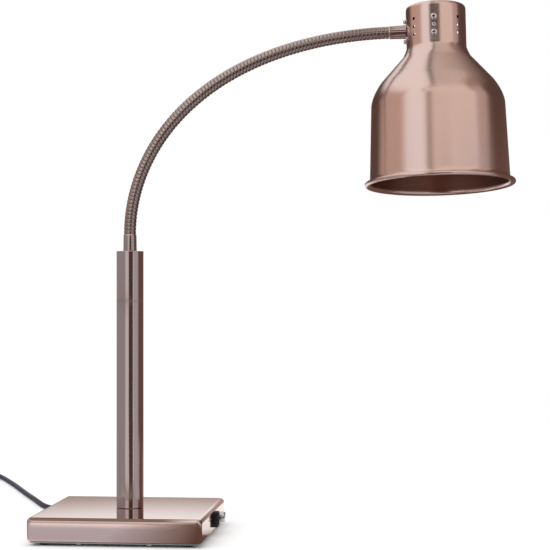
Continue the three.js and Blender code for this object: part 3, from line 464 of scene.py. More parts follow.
cord_route = [
    (-84, 94, 14), (-84, 110, 14), (-84, 124, 14), (-84, 134, 13.5), (-86.5, 145, 11.4),
    (-93, 155, 8.2), (-103, 163, 5.2), (-115, 169.5, 2.8), (-127, 176, 1.6), (-138, 184, 1.3),
    (-147, 194, 1.3), (-155, 206, 1.3), (-167, 230, 1.3), (-183.5, 267, 1.3), (-200, 303, 1.3),
    (-217.5, 341.5, 1.3), (-235.5, 382, 1.3), (-254, 423.5, 1.3), (-273, 464, 1.3),
    (-291, 501, 1.3), (-307.5, 532.5, 1.4), (-322.5, 557, 1.9), (-338.5, 577.5, 2.3),
    (-353, 592, 2.6), (-358, 597, 2.6),
]
COIL_LOOPS, COIL_STEPS, COIL_MID_RADIUS, COIL_GAP = 5.5, 24, 39.0, 1.6
COIL_PITCH = 2 * CORD_RADIUS + COIL_GAP
COIL_OUTER = COIL_MID_RADIUS + COIL_PITCH * (COIL_LOOPS - 0.5) / 4
COIL_HEADING = 0.75 * pi
COIL_LIFT = 1.3
CORD_HEIGHT = TABLE + CORD_RADIUS
PLUG_AXIS = TABLE + PLUG_RADIUS
TAIL_LENGTH, TAIL_STEPS = 40.0, 6


def smoothstep(t):
    return t * t * (3 - 2 * t)


def coil_point(turns):
    """Inwards along the lower layer, up over half a turn, and outwards along the upper one."""
    half = (COIL_LOOPS - 0.5) / 2
    inward, outward = min(turns, half), max(turns - half - 0.5, 0)
    climb = min(max((turns - half) / 0.5, 0), 1)
    radius = COIL_OUTER - COIL_PITCH * (inward - outward)
    angle = COIL_HEADING - pi / 2 + 2 * pi * turns
    return Vector((radius * cos(angle), radius * sin(angle), COIL_PITCH * smoothstep(climb)))


coil_start = Vector(cord_route[-1][:2] + (0,)) + 3 * GAP * Vector(
    (cos(COIL_HEADING), sin(COIL_HEADING), 0))
coil_centre = coil_start - coil_point(0)
coil_centre.z = CORD_HEIGHT + COIL_LIFT


def cord_points():
    steps = round(COIL_LOOPS * COIL_STEPS)
    coil = [coil_centre + coil_point(COIL_LOOPS * i / steps) for i in range(steps + 1)]
    end = coil[-1]
    along = end - coil[-2]
    along.z = 0
    along.normalize()
    tail = []
    for i in range(1, TAIL_STEPS + 1):
        share = i / TAIL_STEPS
        point = end + along * TAIL_LENGTH * share
        point.z = end.z + (PLUG_AXIS - end.z) * smoothstep(share)
        tail.append(point)
    return [Vector(p) for p in cord_route[:-1]], coil, tail, along


route, coil, tail, plug_way = cord_points()


def make_cord():
    data = bpy.data.curves.new("mains_lead", "CURVE")
    data.dimensions = "3D"
    data.resolution_u = 5
    data.bevel_depth = CORD_RADIUS * MM
    data.bevel_resolution = 5
    data.use_fill_caps = True
    points = route + coil + tail
    spline = data.splines.new("BEZIER")
    spline.bezier_points.add(len(points) - 1)
    for knot, point in zip(spline.bezier_points, points):
        knot.co = point * MM
        knot.handle_left_type = knot.handle_right_type = "AUTO"
    data.materials.append(look["cord"])
    return install(link("mains_lead", data), "stand", ["mains_cord", "cord_coil"])


COLLAR, PLUG_BODY, PLUG_RINGS = 22.0, 26.0, 5
PRONG, PRONG_REACH, PRONGS = 2.4, 19.0, (9.5, -9.5)
RELIEF_RADIUS, RELIEF_FLANGE, RELIEF_TAPER, RELIEF_RINGS = 5.6, 7.2, 1.2, 6
TIE_SHEET, TIE_WIDTH, TIE_CORNER = 0.9, 9.0, 2.2


def make_plug():
    far = COLLAR + PLUG_BODY
    place = (Matrix.Translation(tail[-1] + plug_way * GAP)
             @ spin(atan2(plug_way.y, plug_way.x), "Z") @ spin(pi / 2, "Y"))
    outline = [(0, 0), (4.4, 0)]
    for ring in range(PLUG_RINGS):
        z, r = 2.5 + 3.6 * ring, 4.6 + 0.75 * ring
        outline += [(r, z), (r, z + 2.2), (r - 0.7, z + 2.4), (r - 0.7, z + 3.4)]
    outline += [(9.0, COLLAR), (0.93 * PLUG_RADIUS, COLLAR + 3),
                (PLUG_RADIUS, COLLAR + 7), (PLUG_RADIUS, far - 1.0),
                (PLUG_RADIUS - 1.2, far), (0, far)]
    obj = build("plug", lathe(soften(outline, 0.8), 72), "black", place)
    sockets = [bar(PRONG + GAP, far - 9.5, far + 2, place @ move(0, y, 0))
               for y in PRONGS]
    grips = [bar(1.4, COLLAR + 8, far - 3,
                 place @ spin(radians(a), "Z") @ move(PLUG_RADIUS + 0.5, 0, 0), 16)
             for base in (0, 180) for a in range(base - 40, base + 41, 16)]
    carve(obj, sockets + grips)
    install(obj, "stand", ["plug_body"])
    pin = [(0, far - 9.2), (PRONG, far - 9.2), (PRONG, far + PRONG_REACH - 2.4),
           (PRONG / 2, far + PRONG_REACH), (0, far + PRONG_REACH)]
    for k, y in enumerate(PRONGS, 1):
        one = build(f"plug_prong_{k}", lathe(soften(pin, 1.2), 32), "bright", place @ move(0, y, 0))
        install(one, "stand", [f"plug_pin_{k}"])
    return obj


def make_relief():
    bore = CORD_RADIUS + GAP
    outline = [(bore, -4.5), (RELIEF_FLANGE, -4.5), (RELIEF_FLANGE, -1.8), (RELIEF_RADIUS, -1.8),
               (RELIEF_RADIUS, 1.0)]
    for i in range(RELIEF_RINGS):
        z = 2.0 + i * 3.3
        r = RELIEF_RADIUS - RELIEF_TAPER * z / RELIEF_LENGTH
        outline += [(r, z), (r, z + 2.0), (r - 0.9, z + 2.2), (r - 0.9, z + 3.1)]
    outline += [(4.5, 22.2), (4.4, RELIEF_LENGTH), (bore, RELIEF_LENGTH)]
    place = turn_to((0, 1, 0), (CORD_EXIT_X, WALL_Y, CORD_EXIT_Z))
    obj = build("cord_relief", lathe(soften_loop(outline, 0.35, 2), 40, loop=True), "rubber", place)
    install(obj, "stand", ["strain_relief"])


def make_tie():
    """A band round both layers of the coil, with its outer edges bevelled."""
    half = (COIL_LOOPS - 0.5) / 2
    inner = COIL_OUTER - COIL_PITCH * half - CORD_RADIUS - GAP
    outer = COIL_OUTER + CORD_RADIUS + COIL_PITCH / 2 + GAP
    low = TABLE + COIL_LIFT - GAP
    high = TABLE + COIL_LIFT + 2 * CORD_RADIUS + COIL_PITCH + GAP
    span, rise, edge = outer - inner, high - low, TIE_WIDTH / 2

    def ring(grow, z):
        return rounded_loop(span + 2 * grow, rise + 2 * grow, TIE_CORNER + grow, z)

    rings = [ring(TIE_SHEET - inset, z) for z, inset in
             ((-edge, 0.3), (0.35 - edge, 0.0), (edge - 0.35, 0.0), (edge, 0.3))]
    rings += [ring(0.0, edge), ring(0.0, -edge)]
    place = (move(coil_centre.x, coil_centre.y, 0) @ spin(COIL_HEADING + 0.75 * pi, "Z")
             @ move((inner + outer) / 2, 0, (low + high) / 2) @ spin(pi / 2, "X"))
    obj = build("coil_strap", skin(rings, loop=True), "black", place)
    return install(obj, "stand", ["coil_tie"])


lead = make_cord()
plug = make_plug()
make_relief()
tie = make_tie()


# Base

CORNERS = ((-1, -1), (1, -1), (-1, 1), (1, 1))
# Screws: radius and height of the head, radius and length of the shank
PLATE_SCREW = (3.0, 1.1, 1.5, 4.7)
FRONT_SCREW, ARM_SCREW = (3.9, 2.8, 2.0, 5.2), (2.9, 2.9, 1.5, 5.2)
SWITCH_HOLE, SHAFT_HOLE, RELIEF_HOLE, SCREW_HOLE = (16.6, 11.6), 3.8, 5.9, 1.9
STAY = 0.6  # from a bend to the ring that keeps the flat wall's shading upright


def cover_rings():
    """The outer skin from the top down to the lip, then the inner skin back up."""
    def ring(inset, z):
        corner = max(COVER_CORNER - inset, 0.8)
        return rounded_loop(BASE_WIDTH - 2 * inset, BASE_DEPTH - 2 * inset, corner, z, 10)

    def bends(sheet, steps):
        """The bends at the foot and at the top, a sheet's thickness inside the outer skin."""
        foot, top = FOOT_BEND - sheet, TOP_BEND - sheet
        foot_rings, top_rings = [], []
        for i in range(steps + 1):
            angle = radians(90) * i / steps
            near, far = 1 - sin(angle), 1 - cos(angle)
            foot_rings.append(ring(sheet + foot * near, COVER_FOOT + sheet + foot * far))
            top_rings.append(ring(sheet + top * far, COVER_TOP - sheet - top * near))
        return foot_rings, top_rings

    foot, top = bends(0, 8)
    stays = [ring(0, COVER_FOOT + FOOT_BEND + STAY), ring(0, COVER_TOP - TOP_BEND - STAY)]
    outer = [ring(COVER_LIP, COVER_FOOT)] + foot + stays + top
    outer.append(ring(TOP_BEND + 1.5, COVER_TOP))
    foot, top = bends(COVER_SHEET, 4)
    return outer[::-1] + [ring(COVER_LIP, COVER_FOOT + COVER_SHEET)] + foot + top


def make_cover():
    obj = build("base_shell", skin(cover_rings()), "cover")
    cutters = [
        block(turn_to((1, 0, 0), (WALL_X, SWITCH_Y, CONTROL_Z)), *SWITCH_HOLE, -4, 4, 1.0),
        bar(SHAFT_HOLE, -4, 4, turn_to((1, 0, 0), (WALL_X, DIMMER_Y, CONTROL_Z))),
        bar(RELIEF_HOLE, -4, 4, turn_to((0, 1, 0), (CORD_EXIT_X, WALL_Y, CORD_EXIT_Z))),
        bar(STUD_RADIUS + GAP, COVER_TOP - 4, COVER_TOP + 2, HERE),
    ]
    cutters += [bar(SCREW_HOLE, -2, 2, move(i * PLATE_SCREW_X, j * PLATE_SCREW_Y, COVER_FOOT))
                for i in (-1, 1) for j in (-1, 1)]
    carve(obj, cutters, 40)
    install(obj, "stand", ["base_cover"])


def make_feet():
    seat, stem = PLATE_FOOT - GAP, PLATE_TOP + GAP
    outline = [(0, TABLE + 0.5), (3.0, TABLE + 0.5), (3.4, TABLE), (7.2, TABLE),
               (7.8, TABLE + 0.6), (7.4, seat), (2.6, seat), (2.6, stem), (3.5, stem),
               (2.6, PLATE_TOP + 2.9), (0, PLATE_TOP + 2.9)]
    for k, (i, j) in enumerate(CORNERS, 1):
        obj = build(f"rubber_foot_{k}", lathe(soften(outline, 0.4, 2), 40), "rubber",
                    move(i * FOOT_X, j * FOOT_Y, 0))
        install(obj, "stand", [f"foot_{k}"])


def pan_head(name, screw, place):
    """A domed screw head with a cross recess."""
    radius, height, shank, length = screw
    outline = [(0, -length), (shank, -length), (shank, 0), (radius, 0), (radius, 0.35 * height),
               (0.86 * radius, 0.72 * height), (0.5 * radius, 0.95 * height), (0, height)]
    obj = build(name, lathe(soften(outline, 0.35, 2), 40), "bright", place)
    slot, reach = 0.2 * radius, 1.15 * radius
    carve(obj, [build("cutter", box_parts(w, d, 0.5 * height, 1.5 * height), "bright", place)
                for w, d in ((reach, slot), (slot, reach))])
    return obj


def make_plate_screws():
    for k, (i, j) in enumerate(CORNERS, 1):
        place = turn_to((0, 0, -1), (i * PLATE_SCREW_X, j * PLATE_SCREW_Y, PLATE_FOOT - GAP))
        obj = pan_head(f"floor_screw_{k}", PLATE_SCREW, place)
        install(obj, "stand", [f"plate_screw_{k}"])


make_cover()
make_feet()
make_plate_screws()


# Post and arm

POST_STAY, CAP_DEPTH = 2.0, 10.0


def make_post():
    # The points near the ends keep the long wall's shading upright
    outline = [(POST_BORE, POST_FOOT), (POST_RADIUS, POST_FOOT),
               (POST_RADIUS, POST_FOOT + POST_STAY), (POST_RADIUS, POST_TOP - POST_STAY),
               (POST_RADIUS, POST_TOP), (POST_BORE, POST_TOP)]
    obj = build("post_column", lathe(soften_loop(outline, 0.5), 128, loop=True), "post")
    install(obj, "stand", ["post_tube"])
    bore, rim = SPIGOT_RADIUS + GAP, POST_BORE - GAP
    low, high = POST_TOP - CAP_DEPTH, POST_TOP - 0.2
    cap = soften_loop([(bore, low), (rim, low), (rim, high), (bore, high)], 0.5)
    obj = build("post_cap", lathe(cap, 96, loop=True), "ferrule")
    install(obj, "stand", ["post_top_plug"])


def ferrule_parts():
    socket, floor = HOSE_END_RADIUS + GAP, FERRULE_LENGTH - HOSE_END_LENGTH - GAP
    outline = [(3.0, -SPIGOT_LENGTH), (SPIGOT_RADIUS, -SPIGOT_LENGTH), (SPIGOT_RADIUS, 0), (8.0, 0),
               (7.6, FERRULE_LENGTH - 1.2), (7.0, FERRULE_LENGTH), (socket, FERRULE_LENGTH),
               (socket, floor), (3.0, floor)]
    return lathe(soften_loop(outline, 0.35, 3), 72, loop=True)


def heading(rib):
    share = rib / RIBS
    return BEND * (share + BEND_SWELL * sin(pi * share))


def direction(angle):
    return Vector((sin(angle), 0, cos(angle)))


grooves = [Vector((0, 0, HOSE_FOOT))]
for rib in range(RIBS):
    grooves.append(grooves[-1] + direction(heading(rib + 0.5)) * RIB_PITCH)

ARM_END = grooves[-1] + direction(BEND) * (FERRULE_LENGTH + GAP + NECK_RADIUS)
ARM = Matrix.Translation(ARM_END) @ spin(BEND - pi / 2, "Y")
HEAD = ARM @ spin(HEAD_ROLL, "X")
HEAD_AXIS, HEAD_ORIGIN = HEAD.to_3x3() @ Vector((0, 0, 1)), HEAD.translation * MM


def hose_ring(at, radius, beyond=0.0):
    """A ring at a place counted in ribs, or past it along its own heading."""
    low = min(int(at), RIBS - 1)
    angle = heading(at)
    centre = grooves[low].lerp(grooves[low + 1], at - low) + direction(angle) * beyond
    side = Vector((cos(angle), 0, -sin(angle)))
    return ring_round(centre, radius, side, Vector((0, 1, 0)), 28)


RIB_STATIONS = (0.0, 0.06, 0.13, 0.2, 0.26, 0.74, 0.8, 0.87, 0.94)
CROWN_FLATNESS = 8
HOSE_STEP, LEAD_RADIUS = 0.2, 1.9


def hose_parts(first, last):
    """The hose from one rib to another, with a plain end at the arm's own ends."""
    rings = []
    if first == 0:
        rings = [hose_ring(0, HOSE_END_RADIUS, -past) for past in (HOSE_END_LENGTH, HOSE_STEP)]
    for rib in range(first, last):
        for share in RIB_STATIONS:
            swell = 1 - abs(2 * share - 1) ** CROWN_FLATNESS
            rings.append(hose_ring(rib + share, HOSE_GROOVE + (HOSE_RADIUS - HOSE_GROOVE) * swell))
    rings.append(hose_ring(last, HOSE_GROOVE))
    if last == RIBS:
        rings += [hose_ring(last, HOSE_END_RADIUS, past) for past in (HOSE_STEP, HOSE_END_LENGTH)]
        rings.append(hose_ring(last, HOSE_BORE, HOSE_END_LENGTH))
    rings += [hose_ring(rib, HOSE_BORE) for rib in range(last, first, -2)]
    rings.append(hose_ring(first, HOSE_BORE))
    if first == 0:
        rings.append(hose_ring(0, HOSE_BORE, -HOSE_END_LENGTH))
    return skin(rings, loop=True)


def span_ribs(piece):
    """The ribs that one piece of the arm covers: from mid segment to mid segment."""
    half = SEGMENT_RIBS // 2
    first = max(piece * SEGMENT_RIBS - half, 0)
    last = min(piece * SEGMENT_RIBS + half, RIBS)
    return first, last


def bend_piece(obj, piece):
    """Rides the piece on the body at the arm's ends, or bakes its place into its mesh."""
    if piece == 0:
        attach(obj, "stand")
    elif piece == SEGMENTS:
        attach(obj, "head")
    else:
        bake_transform(obj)


def lead_path(piece):
    """The lead's centre line inside one piece of the arm, with its way through the post."""
    first, last = span_ribs(piece)
    path = [grooves[rib] for rib in range(first, last + 1, 2)]
    if piece == 0:
        inside = [(-50.5, 13.7, 21.8), (-50.5, 9.9, 21.8), (-36.75, 4.95, 20.8), (-23, 0, 19.8),
                  (-13.8, 0, 13.72), (-6.44, 0, 11.82), (-1.15, 0, 15.05), (0, 0, 20), (0, 0, 36),
                  (0, 0, 136), (0, 0, 242), (0, 0, 326)]
        path = catmull(inside, 4) + path
    if piece == SEGMENTS:
        path.append(grooves[-1] + direction(BEND) * (FERRULE_LENGTH + 4.5))
    return path


def make_arm():
    lower = move(0, 0, POST_TOP + GAP)
    upper = ARM @ turn_to((-1, 0, 0), (-NECK_RADIUS - GAP, 0, 0))
    for end, place, body in (("lower", lower, "stand"), ("upper", upper, "head")):
        obj = build(f"ferrule_{end}", ferrule_parts(), "ferrule", place)
        install(obj, body, [f"{end}_ferrule"])
    for piece in range(SEGMENTS + 1):
        count = f"{piece + 1}_of_{SEGMENTS + 1}"
        nodes = [f"gooseneck_{i}" for i in (piece, piece + 1) if 1 <= i <= SEGMENTS]
        obj = build(f"hose_{count}", hose_parts(*span_ribs(piece)), "hose", edge=50)
        bend_piece(obj, piece)
        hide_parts(*nodes)
        obj = build(f"lead_{count}", skin(tube_rings(lead_path(piece), LEAD_RADIUS, 12)), "white")
        bend_piece(obj, piece)
        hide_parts("lamp_lead")


make_post()
make_arm()


# Shade

def shade_profile(inset, fine):
    """The sheet's outline from the middle of the roof down to the body's foot."""
    neck, roof = NECK_RADIUS - inset, NECK_TOP - inset
    shoulder, body, fillet = SHOULDER_RADIUS - inset, BODY_RADIUS - inset, NECK_FILLET - inset

    def slope(out, down):
        return neck + out * (shoulder - neck), NECK_FOOT + down * (SHOULDER_FOOT - NECK_FOOT)

    start, end = slope(0.11, 0.17), slope(0.71, 0.58)
    path = [(0, roof), (neck - fillet, roof)]
    path += quadratic(path[-1], (neck, roof), (neck, roof - fillet), 8)
    path += straight(path[-1], (neck, NECK_FOOT), 22 if fine else 6)
    path += quadratic(path[-1], (neck, slope(0, 0.04)[1]), start, 10)
    path += straight(path[-1], end, 6)
    path += quadratic(path[-1], (shoulder, slope(1, 0.82)[1]), (shoulder, SHOULDER_FOOT), 14)
    path += straight(path[-1], (body, BODY_FOOT + 3), 12)
    return path


def shade_outline():
    outer = shade_profile(0, True)
    x, z = RIM_RADIUS - BEAD, RIM_FOOT + BEAD
    bead = [(x + BEAD * cos(radians(a)), z + BEAD * sin(radians(a))) for a in range(128, -131, -14)]
    outer += quadratic(outer[-1], (BODY_RADIUS + 0.1, bead[0][1] + 0.4), bead[0], 6)[:-1]
    inner = shade_profile(SHADE_SHEET, False)[::-1]
    bore, lip = inner[0][0], z + 0.5 * BEAD
    under = quadratic(bead[-1], (bore + 0.4, z - 0.7 * BEAD), (bore, lip), 5)
    return outer + bead + under + straight(under[-1], inner[0], 4)[:-1] + inner


VENT_HOLE, SCREW_SEAT, STEM_HOLE, HOLE_REACH = 1.9, 2.4, 5.4, 3.6
ARM_SIDE = -pi / 2


def on_wall(distance, height, azimuth):
    """A place on the neck's wall whose +Z points outwards."""
    return HEAD @ spin(azimuth, "Z") @ move(0, -distance, height) @ spin(pi / 2, "X")


def make_shade():
    obj = build("shade_bell", lathe(shade_outline(), 192), "spun", HEAD)
    holes = [(VENT_HOLE, row + rise, radians(azimuth))
             for azimuth, rise in VENT_COLUMNS for row in VENT_ROWS]
    holes += [(radius, row, FRONT_AZIMUTH)
              for radius, row in zip((SCREW_SEAT, VENT_HOLE, SCREW_SEAT), FRONT_ROWS)]
    holes += [(STEM_HOLE, 0.0, ARM_SIDE), (VENT_HOLE, ARM_SCREW_REACH, ARM_SIDE),
              (VENT_HOLE, -ARM_SCREW_REACH, ARM_SIDE)]
    carve(obj, [bar(radius, -HOLE_REACH, HOLE_REACH, on_wall(NECK_RADIUS, row, azimuth), 28)
                for radius, row, azimuth in holes], 28)
    # Painted shade: faces inside the bell and under its roof take the darker copy of its copper
    obj.data.materials.append(look["inside"])
    for face in obj.data.polygons:
        out = face.center - HEAD_ORIGIN
        radial = out - HEAD_AXIS * out.dot(HEAD_AXIS)
        level = out.dot(HEAD_AXIS) / MM
        inward = face.normal.dot(radial) < 0 and level < NECK_TOP - 0.5
        under = face.normal.dot(HEAD_AXIS) < -0.9 and level > 0
        if (inward or under) and level > RIM_FOOT + 1.3 * BEAD:
            face.material_index = 1
    install(obj, "head", ["shade"])


def make_fixings():
    def place(row, azimuth):
        return on_wall(NECK_RADIUS + GAP, row, azimuth)

    for k, row in enumerate((FRONT_ROWS[0], FRONT_ROWS[2]), 1):
        obj = pan_head(f"front_pan_{k}", FRONT_SCREW, place(row, FRONT_AZIMUTH))
        install(obj, "head", [f"front_screw_{k}"])
    rivet = soften([(0, -5.2), (1.5, -5.2), (1.5, 0), (2.4, 0), (2.3, 0.5), (1.6, 1.0), (0, 1.2)],
                   0.4)
    obj = build("rivet_head", lathe(rivet, 36), "bright", place(FRONT_ROWS[1], FRONT_AZIMUTH))
    install(obj, "head", ["front_rivet"])
    for k, row in enumerate((ARM_SCREW_REACH, -ARM_SCREW_REACH), 1):
        obj = pan_head(f"arm_pan_{k}", ARM_SCREW, place(row, ARM_SIDE))
        install(obj, "head", [f"arm_screw_{k}"])


make_shade()
make_fixings()


# Bulb and holder

HOLDER_TOP, HOLDER_FOOT, HOLDER_ROOF, HOLDER_RADIUS = 21.0, -16.0, 5.0, 20.0
BULB_RADIUS, BULB_BELLY, BULB_FACE = 60.5, -110.0, -124.0
SKIRT_FOOT, GLASS_NECK, GLASS_SPIGOT = -44.0, 16.2, 4.0
WIRE, HOLDER_BORE = 1.1, 15.2  # radii


def cubic(a, b, c, d, steps):
    a, b, c, d = Vector(a), Vector(b), Vector(c), Vector(d)
    out = []
    for i in range(1, steps + 1):
        t = i / steps
        out.append(tuple((1 - t) ** 3 * a + 3 * t * (1 - t) ** 2 * b + 3 * t * t * (1 - t) * c
                         + t ** 3 * d))
    return out


def make_bulb():
    def envelope(inset):
        neck, belly, face = GLASS_NECK - inset, BULB_RADIUS - inset, BULB_FACE + inset
        shoulder = SKIRT_FOOT - GAP - inset
        length = shoulder - BULB_BELLY
        path = [(neck, SKIRT_FOOT + GLASS_SPIGOT), (neck, shoulder)]
        path += cubic(path[-1], (neck + 0.16 * belly, shoulder - 0.03 * length),
                      (belly, shoulder - 0.46 * length), (belly, BULB_BELLY), 24)
        path += quadratic(path[-1], (belly, face), (0.45 * belly, face), 12)
        path += [(0.2 * belly, face), (0, face)]
        return path

    parts = lathe(envelope(1.0)[::-1] + envelope(0), 96)
    obj = build("bulb_envelope", parts, "mirror", HEAD, 40)
    obj.data.materials.append(look["glass"])
    for face in obj.data.polygons:
        if (face.center - HEAD_ORIGIN).dot(HEAD_AXIS) / MM < BULB_BELLY + 6:
            face.material_index = 1
    install(obj, "head", ["bulb_glass"])


def make_holder():
    roof = HOLDER_TOP - HOLDER_ROOF
    outline = [(0, roof), (HOLDER_BORE, roof), (HOLDER_BORE, HOLDER_FOOT),
               (HOLDER_RADIUS, HOLDER_FOOT), (HOLDER_RADIUS, 0.75 * HOLDER_TOP),
               (0.85 * HOLDER_RADIUS, HOLDER_TOP), (0, HOLDER_TOP)]
    obj = build("ceramic_holder", lathe(soften(outline, 0.8), 72), "ceramic", HEAD)
    reach, side = 0.55 * HOLDER_RADIUS, 0.28 * HOLDER_RADIUS
    cutters = [bar(2.3, roof + 1.25, HOLDER_TOP + 2, HEAD)]
    cutters += [bar(1.45, roof + 2.5, HOLDER_TOP + 2, HEAD @ move(-reach, y, 0), 16)
                for y in (side, -side)]
    carve(obj, cutters)
    install(obj, "head", ["lampholder"])

    mouth = -NECK_RADIUS - GAP + SPIGOT_LENGTH
    turn, above = mouth + 3 * WIRE, HOLDER_TOP + 3 * WIRE
    for k, y in enumerate((side, -side), 1):
        away = copysign(WIRE + GAP, y)
        path = [(mouth - 3 * WIRE, away, 0), (mouth, away, 0), (turn, 1.5 * away, 3 * WIRE),
                (turn, 2 * away, HOLDER_TOP / 2), (turn, 3 * away, HOLDER_TOP),
                ((turn - reach) / 2, y, above + WIRE), (-reach, y, above),
                (-reach, y, HOLDER_TOP - HOLDER_ROOF / 2 + GAP)]
        obj = build(f"wire_{k}", skin(tube_rings(catmull(path, 4), WIRE, 12)), "white", HEAD)
        install(obj, "head", [f"holder_wire_{k}"])


def make_mains_tail():
    path = [(-84, 93.7, 14), (-84, 83.2, 14), (-84, 73.5, 21.8), (-55, 56.8, 21.8),
            (-55, 46.3, 21.8)]
    obj = build("inner_tail", skin(tube_rings(catmull(path, 6), CORD_RADIUS, 20)), "cord")
    install(obj, "stand", ["mains_tail"])


make_bulb()
make_holder()
make_mains_tail()


# Controls

FRAME_STAND, ROCKER_STAND, ROCKER_HALF, ROCKER_BACK = 4.8, 5.6, 6.8, -2.8
ROCKER_TILT = radians(9)


def make_switch():
    place = turn_to((1, 0, 0), (WALL_X + GAP, SWITCH_Y, CONTROL_Z))
    rings = [rounded_loop(width, depth, corner, z) for width, depth, corner, z in
             ((18.4, 13, 1.6, 0), (18.4, 13, 1.6, FRAME_STAND - 0.9),
              (17.9, 12.5, 1.4, FRAME_STAND - 0.25), (17.0, 11.6, 1.2, FRAME_STAND))]
    obj = build("switch_frame", skin(rings), "black", place)
    carve(obj, [block(place, 14.8, 9.8, FRAME_STAND - 5.5, FRAME_STAND + 5, 0.6)])
    case = build("switch_case", box_parts(16.0, 11.0, -15.0 - GAP, -1.2, 0.8), "black", place)
    install(obj, "stand", ["switch_body"])
    install(case, "stand", ["switch_body"])


def make_rocker():
    pivot = WALL_X + GAP + FRAME_STAND - 0.22 * ROCKER_STAND
    low, high = -0.1 * ROCKER_STAND, 0.28 * ROCKER_STAND
    top = quadratic((-ROCKER_HALF, high), (0, low), (ROCKER_HALF, high), 14)
    outline = [(-ROCKER_HALF, 0), (-ROCKER_HALF, high)] + top + [
        (ROCKER_HALF, 0), (1.4, ROCKER_BACK), (-1.4, ROCKER_BACK)]
    rings = [[Vector((x, y, z)) for x, y in outline] for z in (-4.3, 4.3)]
    place = (move(pivot, SWITCH_Y, CONTROL_Z) @ spin(ROCKER_TILT, "Y") @ spin(pi / 2, "Y")
             @ spin(pi / 2, "X"))
    obj = build("rocker_cap", skin(rings), "gloss_black", place)
    bevel(obj, 0.5, 3)
    install(obj, "rocker", ["switch_rocker"])


def make_knob():
    place = turn_to((1, 0, 0), (WALL_X, DIMMER_Y, CONTROL_Z))
    outline = [(0, 11), (5.4, 11), (6.2, 10.2), (6.5, 9.4), (6.5, 0.9), (6.2, 0.6), (5.8, 0.6),
               (5.8, 4.65), (2.5, 4.65), (2.5, 9.6), (0, 9.6)]
    obj = build("knob", lathe(soften(outline, 0.3, 3), 96), "bright", place)
    flutes = [bar(0.45, 1.6, 8.8, place @ spin(radians(a), "Z") @ move(6.75, 0, 0), 10)
              for a in range(0, 360, 15)]
    mark = block(place @ move(-3.6, 0, 0), 3.2, 0.6, 10.7, 12)
    carve(obj, flutes + [mark])
    install(obj, "dimmer", ["dimmer_knob"])


make_switch()
make_rocker()
make_knob()


# CAD nodes that stay as they are and only take a material

kept = {
    "steel": ["post_stud", "post_nut", "holder_bracket", "arm_plate", "arm_nut", "dimmer_nut",
              "dimmer_shaft"],
    "raw_steel": ["base_plate", "ballast_plate", "post_base_plug"],
    "brass": ["screw_shell", "centre_contact", "bulb_cap", "bulb_skirt"],
    "bright": ["holder_screw"],
    "black": ["dimmer_body"],
    "white": ["terminal_block"],
}
for key, names in kept.items():
    for name in names:
        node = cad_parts[name]
        node.data.materials.clear()
        node.data.materials.append(look[key])


# Stage and light, in metres

FLOOR_REACH, FLOOR_DROP = 3.0, 0.0001
FADE_START, FADE_END = 0.5, 1.6
# The floor's glow, and the span over which it fades out towards the base (painted shade at the
# base's foot)
FLOOR_LIFT, LIFT_START, LIFT_END = 0.27, 0.088, 0.112
PAPER, AMBIENT = 0.93, 0.78


def floor_material():
    """Paper that fades out into the background. For the camera and reflections it also glows to
    look white, but the glow fades out towards the base and is gone under it: painted shade along
    the base's foot.
    """
    material, tree = new_material("floor_paper")
    paper = tree.nodes["Principled BSDF"]
    feed(paper, {"Base Color": (PAPER, PAPER, PAPER, 1), "Roughness": 0.9,
                 "Specular IOR Level": 0.1})
    place = add(tree, "TexCoord").outputs["Object"]
    length = add(tree, "VectorMath", {0: place}, operation="LENGTH").outputs["Value"]
    fade = add(tree, "MapRange", {"Value": length, "From Min": FADE_START, "From Max": FADE_END},
               interpolation_type="SMOOTHSTEP")
    sides = add(tree, "VectorMath", {0: place}, operation="ABSOLUTE")
    axes = add(tree, "SeparateXYZ", {0: sides}).outputs
    # Painted shade: no glow under the base, fading in just outside its edge
    glow_with_shade_under_base = add(tree, "MapRange", {"Value": calc(tree, "MAXIMUM", axes["X"], axes["Y"]),
                                    "From Min": LIFT_START, "From Max": LIFT_END,
                                    "To Max": FLOOR_LIFT}, interpolation_type="SMOOTHSTEP")
    rays = add(tree, "LightPath").outputs
    seen = calc(tree, "MAXIMUM", rays["Is Camera Ray"], rays["Is Glossy Ray"])
    glow = add(tree, "Emission", {"Strength": calc(tree, "MULTIPLY", seen, glow_with_shade_under_base)})
    both = add(tree, "AddShader", {0: paper, 1: glow})
    mix = add(tree, "MixShader", {"Fac": fade, 1: both, 2: add(tree, "BsdfTransparent")})
    feed(tree.nodes["Material Output"], {"Surface": mix})
    return material


def stage_mesh(name, verts, faces, material):
    mesh = bpy.data.meshes.new(name)
    mesh.from_pydata(verts, [], faces)
    mesh.materials.append(material)
    obj = link(name, mesh)
    return obj


def make_floor():
    z = TABLE * MM - FLOOR_DROP
    corners = [(i * FLOOR_REACH, j * FLOOR_REACH, z) for i, j in
               ((-1, -1), (1, -1), (1, 1), (-1, 1))]
    stage_mesh("floor", corners, [(0, 1, 2, 3)], floor_material())


SPOTS = {"post": Vector((0.0, 0.0, 0.0)), "shade": Vector((0.36, 0.0, 0.0))}
COLUMN_STEP = 6.0
LAYER = 0.0005


def laid(layer):
    """The height of a layer of panels on the table."""
    return TABLE * MM + LAYER * (2 + layer)


